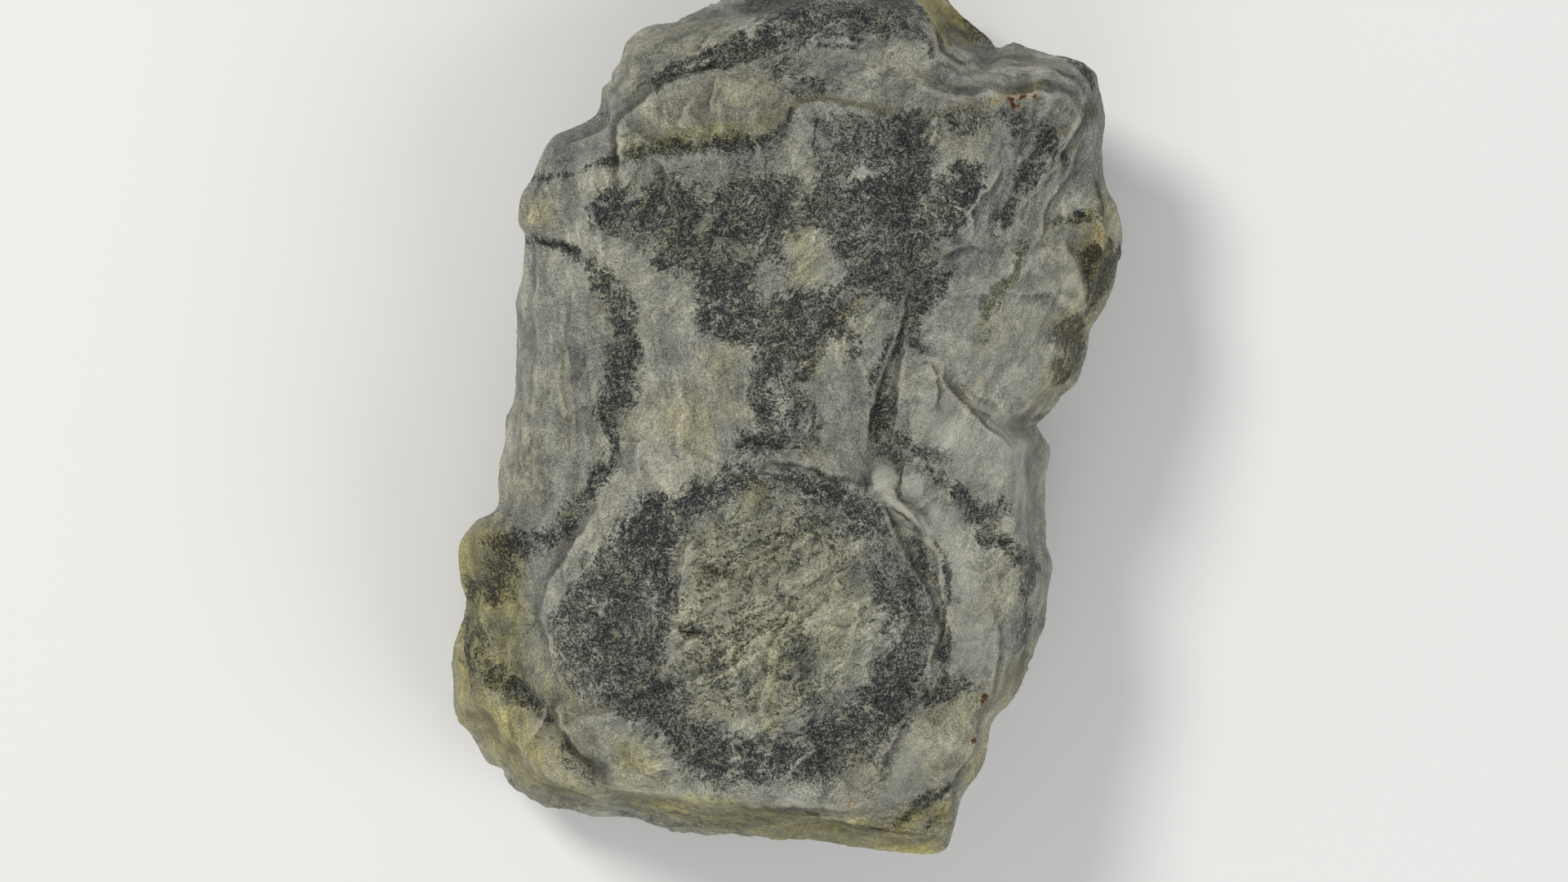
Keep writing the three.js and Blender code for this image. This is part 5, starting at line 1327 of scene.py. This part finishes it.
def makeStone():
    points, faces, ringCount = skinGrid()
    x, y, z = points.T
    print("stone skin laid out:", len(points), "points")
    drop, ground = groundAt(x, y, z)
    shares = lieShares(x, y)
    ground.update(zip(lies, shares))
    print("stone minerals placed")

    # Each point moves along the mean direction of the faces round it; the foot stays level.
    draft = meshFrom("stone_draft", points, faces)
    normals = readNormals(draft)
    edges = np.empty(2 * len(draft.data.edges), np.int32)
    draft.data.edges.foreach_get("vertices", edges)
    bpy.data.objects.remove(draft)
    lift = reliefAt(x, y, z, shares, ground["mica"], ground["quartz"], drop)
    points = points + normals * (lift * clamp(z / stone["footSpan"]))[:, None]

    # Inside its foot the underside is a little hollow in places.
    perimeter = 2 * (stone["sheetRows"] + stone["sheetColumns"])
    firstUnder = (stone["sheetRows"] + 1) * (stone["sheetColumns"] + 1)
    firstUnder += (ringCount - stone["footRings"] + 1) * perimeter
    uneven = roughness(x / stone["hollowWave"], y / stone["hollowWave"], z + 3, 3)
    hollow = np.maximum(0, uneven + stone["hollowShare"]) * stone["footHollow"]
    points[:, 2] = np.where(np.arange(len(points)) >= firstUnder, hollow,
                            np.maximum(points[:, 2], 0))

    scale = 1 - (points[:, 2] - stone["narrowLevel"]) * stone["narrowing"]
    points[:, :2] = points[:, :2] * scale[:, None] - stone["planCentre"]
    piece = meshFrom(stone["name"], points, faces)
    ground["proud"] = proudness(points, readNormals(piece), edges.reshape(-1, 2))
    for name, parts in attributes.items():
        attribute = piece.data.attributes.new(name, "FLOAT_VECTOR", "POINT")
        values = np.stack([ground[part] for part in parts], -1)
        attribute.data.foreach_set("vector", values.astype(np.float32).ravel())
    print("stone skin made:", len(faces), "faces")
    return piece


def linear(*shades):  # a colour's values on the screen's scale, 0 to 255, as light
    return tuple(((s / 255 + 0.055) / 1.055) ** 2.4 for s in shades) + (1.0,)


class Board:  # puts nodes on a material's board and joins them
    def __init__(self, tree):
        self.tree = tree

    def give(self, socket, value):
        if isinstance(value, bpy.types.NodeSocket):
            self.tree.links.new(value, socket)
        else:
            socket.default_value = value

    def add(self, kind, inputs=None, **settings):
        node = self.tree.nodes.new(kind)
        for name, value in settings.items():
            setattr(node, name, value)
        for name, value in (inputs or {}).items():
            self.give(node.inputs[name], value)
        return node

    def math(self, operation, *values):
        node = self.add("ShaderNodeMath", operation=operation)
        for socket, value in zip(node.inputs, values):
            self.give(socket, value)
        return node.outputs[0]

    def plus(self, first, second):
        return self.math("ADD", first, second)

    def less(self, first, second):
        return self.math("SUBTRACT", first, second)

    def times(self, first, second):
        return self.math("MULTIPLY", first, second)

    def vector(self, operation, first, second):
        node = self.add("ShaderNodeVectorMath", {0: first, 1: second}, operation=operation)
        return node.outputs[0]

    def weighted(self, noises, weights):  # the sum of noises less a half, each times its weight
        total = 0.0
        for name, weight in weights.items():
            total = self.plus(total, self.times(self.less(noises[name], 0.5), weight))
        return total

    def mix(self, share, first, second, blend="MIX"):
        node = self.add("ShaderNodeMix", data_type="RGBA", blend_type=blend)
        for socket, value in zip((node.inputs[0], node.inputs[6], node.inputs[7]),
                                 (share, first, second)):
            self.give(socket, value)
        return node.outputs[2]

    def tint(self, share, base, colour):
        return self.mix(share, base, colour, "MULTIPLY")

    def between(self, value, low, high, first=0.0, second=1.0):
        return self.add("ShaderNodeMapRange", {
            "Value": value, "From Min": low, "From Max": high, "To Min": first, "To Max": second},
            interpolation_type="SMOOTHSTEP").outputs[0]

    def ramp(self, value, stops):
        node = self.add("ShaderNodeValToRGB", {"Fac": value})
        elements = node.color_ramp.elements
        while len(elements) < len(stops):
            elements.new(0.5)
        for element, (place, colour) in zip(elements, stops):
            element.position, element.color = place, colour
        return node.outputs[0]

    def grain(self, vector, scale, detail, rough):  # a noise's value and its colour
        return self.add("ShaderNodeTexNoise", {
            "Vector": vector, "Scale": scale, "Detail": detail, "Roughness": rough}).outputs

    def parts(self, vector):
        return self.add("ShaderNodeSeparateXYZ", {0: vector}).outputs

    def pushed(self, vector, scale, amount, detail):  # the place pushed about by a noise's colour
        push = self.vector("SUBTRACT", self.grain(vector, scale, detail, 0.5)[1], (0.5,) * 3)
        return self.vector("ADD", vector, self.vector("MULTIPLY", push, (amount,) * 3))


# The schist's colours from dark to pale by the tone they stand at, its tints, which multiply the
# ground, and its plain colours, which cover it. The shadow colour is painted shade, and the crest
# colour a painted highlight.
schist = dict(
    light=[(0.1, linear(90, 91, 86)), (0.38, linear(127, 127, 117)), (0.6, linear(149, 149, 135)),
           (0.92, linear(188, 186, 167))],
    dark=[(0.08, linear(29, 31, 32)), (0.36, linear(54, 56, 56)), (0.64, linear(83, 85, 79)),
          (0.95, linear(141, 140, 118))],
    warm=(1.03, 1.0, 0.91, 1), cool=(0.97, 0.99, 1.02, 1), ochre=(1.17, 1.06, 0.58, 1),
    olive=(0.84, 0.82, 0.56, 1), slate=(0.62, 0.65, 0.71, 1), rust=linear(70, 38, 20),
    rustHalo=(1.08, 0.84, 0.58, 1), quartz=linear(158, 158, 146), shadow=(0.36, 0.36, 0.33, 1),
    crestHighlight=linear(180, 175, 158), hair=linear(84, 82, 72), bumpHeight=0.0009, gloss=0.35)

# No grain runs straight: the places that noises are read at are pushed about. Each entry has the
# place that is pushed, the fineness of the push, its size in millimetres, and its detail.
pushes = {"wavy": ("straight", 0.12, 7, 3.0), "curly": ("wavy", 0.5, 1.6, 2.0),
          "wiry": ("wavy", 0.9, 0.8, 2.0)}
# Noises drawn out along the grain: the place, the length and width in millimetres, the detail and
# the roughness. Noises of the ground: the place, the fineness, the detail and the roughness.
grainNoises = {
    "streak": ("wavy", 18, 2.8, 2.0, 0.5), "thread": ("wavy", 4, 0.75, 2.0, 0.55),
    "fibre": ("curly", 2.8, 0.85, 2.0, 0.55), "hair": ("wiry", 22, 1.7, 3.0, 0.5)}
groundNoises = {
    "fleck": ("curly", 1.25, 1.5, 0.6), "speck": ("straight", 3.2, 1.0, 0.6),
    "patch": ("wavy", 0.2, 5.0, 0.62), "broad": ("straight", 0.07, 4.0, 0.55)}
crystals = dict(fineness=0.95, facetFineness=0.36, facetStretch=(1, 0.6, 1))

# What each tone or height is made up of: the noises and their weights.
tones = dict(
    mica=dict(patch=1.5, fibre=1.8, fleck=1.1, speck=0.8),
    light=dict(broad=0.9, otherPatch=0.6, streak=0.8, thread=0.6, otherFleck=0.35,
               otherSpeck=1.1, crystal=0.08, facet=0.18),
    dark=dict(thirdPatch=0.9, fibre=1.6, otherFleck=1.3, otherSpeck=2.2, crystal=0.14,
              otherFacet=0.12),
    blotches=dict(otherPatch=1.6, thirdFleck=1.0), rust=dict(thirdFleck=1.2),
    edge=dict(fleck=0.5, speck=0.2),
    sugary=dict(thread=0.45, otherFleck=0.3, otherSpeck=0.5, crystalGap=0.2),
    fleecy=dict(fibre=1.2, fleck=1.0, speck=0.8))

# Across an edge, in millimetres: the middle of each thin line, the half width where it is whole and
# the one where it ends, and its strength. The dark line is painted shadow, the pale one a painted
# highlight.
edgeLines = dict(dark=dict(at=-0.1, whole=0.06, end=0.34, strength=0.95),
                 pale=dict(at=0.42, whole=0.1, end=0.42, strength=0.7))


# Every noise by its name. A noise's colour gives two more values, its "other" and its "third".
def schistNoises(board, given):
    place = board.add("ShaderNodeTexCoord").outputs["Object"]
    places = {"straight": board.vector("MULTIPLY", place, (1 / metre,) * 3)}
    for name, (source, *settings) in pushes.items():
        places[name] = board.pushed(places[source], *settings)
    noises = {}

    # A noise along the grain is read once for each lie, and the four are added by their shares.
    for name, (where, along, across, detail, rough) in grainNoises.items():
        noises[name] = 0.0
        for lie, degrees in lies.items():
            turned = board.add("ShaderNodeMapping", {
                "Vector": places[where], "Rotation": (0, 0, math.radians(degrees)),
                "Scale": (along, across, along)}, vector_type="TEXTURE").outputs[0]
            value = board.grain(turned, 1.0, detail, rough)[0]
            noises[name] = board.plus(noises[name], board.times(value, given[lie]))
    for name, (where, *settings) in groundNoises.items():
        noises[name], colour = board.grain(places[where], *settings)
        _, other, third = board.parts(colour)
        noises["other" + name.capitalize()], noises["third" + name.capitalize()] = other, third
    crystal = board.add("ShaderNodeTexVoronoi", {
        "Vector": places["curly"], "Scale": crystals["fineness"]}).outputs
    noises["crystal"], noises["crystalGap"] = board.parts(crystal["Color"])[0], crystal["Distance"]
    facet = board.add("ShaderNodeTexVoronoi", {
        "Vector": board.vector("MULTIPLY", places["curly"], crystals["facetStretch"]),
        "Scale": crystals["facetFineness"]}).outputs
    noises["facet"], noises["otherFacet"], _ = board.parts(facet["Color"])
    return noises


# The mask of the mica and the colour of the bare ground. Mica's share of the ground is pushed up
# and down by its noises, less so where there is little mica, then cut softly. The light ground has
# thin dark hairs along the grain, and warm and cool tints lie over all in broad drifts.
def schistGround(board, given, noises):
    restless = board.between(given["mica"], 0.0, 0.5, 0.3, 1.0)
    push = board.times(board.weighted(noises, tones["mica"]), restless)
    mica = board.between(board.plus(given["mica"], push), 0.18, 0.82)

    light = board.ramp(board.plus(0.5, board.weighted(noises, tones["light"])), schist["light"])
    hair = board.math("ABSOLUTE", board.less(noises["hair"], 0.5))
    hairWidth = board.plus(0.009, board.times(given["level"], 0.022))
    hairy = board.math("MAXIMUM", board.between(noises["thirdPatch"], 0.42, 0.6), given["level"])
    hairMask = board.times(board.between(hair, 0.0, hairWidth, 0.7, 0.0), hairy)
    light = board.mix(hairMask, light, schist["hair"])
    dark = board.ramp(board.plus(0.46, board.weighted(noises, tones["dark"])), schist["dark"])
    base = board.mix(mica, light, dark)
    base = board.tint(board.between(noises["otherBroad"], 0.52, 0.72), base, schist["warm"])
    base = board.tint(board.between(noises["otherBroad"], 0.48, 0.3), base, schist["cool"])
    return mica, base


# The skin of fine mica and the clean quartz lie over the ground, then the stains and the painted
# highlight on crests.
def schistStains(board, given, noises, quartz, base):
    blotchy = board.plus(0.5, board.weighted(noises, tones["blotches"]))
    ochre = board.times(given["ochre"], board.between(blotchy, 0.3, 0.7, 0.42, 1.0))
    olive = board.times(given["olive"], board.between(noises["patch"], 0.36, 0.6, 0.45, 1.0))
    crestHighlight = board.times(given["crestHighlight"], board.between(blotchy, 0.3, 0.7, 0.2, 0.9))
    rust = board.plus(given["rust"], board.weighted(noises, tones["rust"]))
    base = board.tint(given["slate"], base, schist["slate"])
    base = board.mix(board.times(quartz, 0.62), base, schist["quartz"])
    base = board.tint(ochre, base, schist["ochre"])
    base = board.tint(olive, base, schist["olive"])
    base = board.mix(crestHighlight, base, schist["crestHighlight"])
    base = board.tint(board.between(rust, 0.12, 0.6, 0.0, 0.9), base, schist["rustHalo"])
    return board.mix(board.between(rust, 0.5, 0.95), base, schist["rust"])


# Painted shade and highlight: hollows are darker and ridges paler, and the feet of ledges and the
# cracks are darker still. Along each edge runs a thin dark line of painted shadow, weaker in
# places, with a thin painted highlight on its raised side.
def schistEdges(board, given, noises, base):
    base = board.tint(1.0, base, board.between(given["proud"], -1.0, 1.0, 0.76, 1.2))
    shade = board.times(given["shade"], board.between(noises["fibre"], 0.3, 0.6, 0.6, 1.0))
    base = board.tint(shade, base, schist["shadow"])
    across = board.plus(given["lineGap"], board.weighted(noises, tones["edge"]))

    def thin(line):
        off = board.math("ABSOLUTE", board.less(across, line["at"]))
        return board.between(off, line["whole"], line["end"], line["strength"], 0.0)

    unevenLine = board.between(noises["otherPatch"], 0.36, 0.56, 0.45, 1.0)
    pale = board.times(thin(edgeLines["pale"]), board.times(given["line"], given["pale"]))
    base = board.mix(pale, base, schist["crestHighlight"])
    dark = board.times(thin(edgeLines["dark"]), board.times(given["line"], unevenLine))
    return board.tint(dark, base, schist["shadow"])


def makeSchist():
    material = bpy.data.materials.new("schist")
    material.use_nodes = True
    material.node_tree.nodes.clear()
    board = Board(material.node_tree)
    given = {}
    for name, parts in attributes.items():
        vector = board.add("ShaderNodeAttribute", attribute_name=name).outputs["Vector"]
        given.update(zip(parts, board.parts(vector)))
    steeper = board.plus(given["steep"], given["slanting"])
    given["level"] = board.less(1.0, board.plus(given["upright"], steeper))
    noises = schistNoises(board, given)
    mica, base = schistGround(board, given, noises)
    quartz = board.times(given["quartz"], board.between(noises["patch"], 0.35, 0.58, 0.7, 1.0))
    base = schistStains(board, given, noises, quartz, base)
    base = schistEdges(board, given, noises, base)

    # Light ground is sugary and mica fleecy to the touch; clean quartz is nearly smooth.
    height = board.add("ShaderNodeMix", {
        0: mica, 2: board.weighted(noises, tones["sugary"]),
        3: board.weighted(noises, tones["fleecy"])}).outputs[0]
    height = board.times(height, board.between(quartz, 0.0, 1.0, 1.0, 0.3))
    bump = board.add("ShaderNodeBump", {
        "Strength": 1.0, "Distance": schist["bumpHeight"], "Height": height})
    dullness = board.less(noises["fleck"], board.times(mica, 0.15))
    shader = board.add("ShaderNodeBsdfPrincipled", {
        "Base Color": base, "Roughness": board.between(dullness, 0.25, 0.7, 0.62, 0.9),
        "Normal": bump.outputs[0], "Specular IOR Level": schist["gloss"]})
    board.add("ShaderNodeOutputMaterial", {"Surface": shader.outputs[0]})
    return material


rock = makeStone()
rock.data.materials.append(makeSchist())
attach(rock, "root")
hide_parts("folded_schist")
print("schist put on the stone")

# The studio, in metres: the floor, the light all round, and three lamps turned to the stone.
stage = dict(size=6.0, floorColour=(0.78, 0.77, 0.75, 1), floorRoughness=0.9,
             worldColour=(0.93, 0.95, 1.0, 1), worldStrength=0.36)
lights = {
    "key": dict(at=(-0.8, 0.8, 1.35), size=0.5, power=17.5, colour=(1.0, 0.985, 0.95)),
    "fill": dict(at=(1.2, -0.6, 1.4), size=1.4, power=11.4, colour=(0.95, 0.97, 1.0)),
    "low": dict(at=(-0.3, -1.3, 0.9), size=1.2, power=6.8, colour=(1.0, 0.99, 0.97)),
}
# The camera looks straight down. Its lens and sensor are in millimetres.
lens = dict(height=0.925, length=120.54, sensor=36.0, nearest=0.05, farthest=20)


def makeFloor():
    half = stage["size"] / 2
    points = np.array([(-half, -half, 0), (half, -half, 0), (half, half, 0), (-half, half, 0)])
    floor = meshFrom("floor", points / metre, [[0, 1, 2, 3]])
    material = bpy.data.materials.new("pale_floor")
    material.use_nodes = True
    shader = material.node_tree.nodes["Principled BSDF"]
    shader.inputs["Base Color"].default_value = stage["floorColour"]
    shader.inputs["Roughness"].default_value = stage["floorRoughness"]
    floor.data.materials.append(material)


def makeLights():
    for name, light in lights.items():
        lamp = bpy.data.lights.new(name, "AREA")
        lamp.shape, lamp.size = "DISK", light["size"]
        lamp.energy, lamp.color = light["power"], light["colour"]
        holder = bpy.data.objects.new(name, lamp)
        holder.location = light["at"]
        back = np.array(light["at"]) / np.linalg.norm(light["at"])
        holder.rotation_euler = (math.acos(back[2]), 0, math.atan2(back[0], -back[1]))
        bpy.context.scene.collection.objects.link(holder)
    world = bpy.data.worlds.new("studio")
    world.use_nodes = True
    background = world.node_tree.nodes["Background"]
    background.inputs["Color"].default_value = stage["worldColour"]
    background.inputs["Strength"].default_value = stage["worldStrength"]
    bpy.context.scene.world = world


def makeCamera():
    camera = bpy.data.cameras.new("camera")
    camera.lens, camera.sensor_width = lens["length"], lens["sensor"]
    camera.clip_start, camera.clip_end = lens["nearest"], lens["farthest"]
    holder = bpy.data.objects.new("camera", camera)
    holder.location = (-stone["planCentre"][0] * metre, -stone["planCentre"][1] * metre,
                       lens["height"])
    bpy.context.scene.collection.objects.link(holder)
    bpy.context.scene.camera = holder


makeFloor()
makeLights()
makeCamera()
bpy.context.scene.view_settings.view_transform = "Standard"
bpy.context.scene.view_settings.look = "None"
print("stage set")
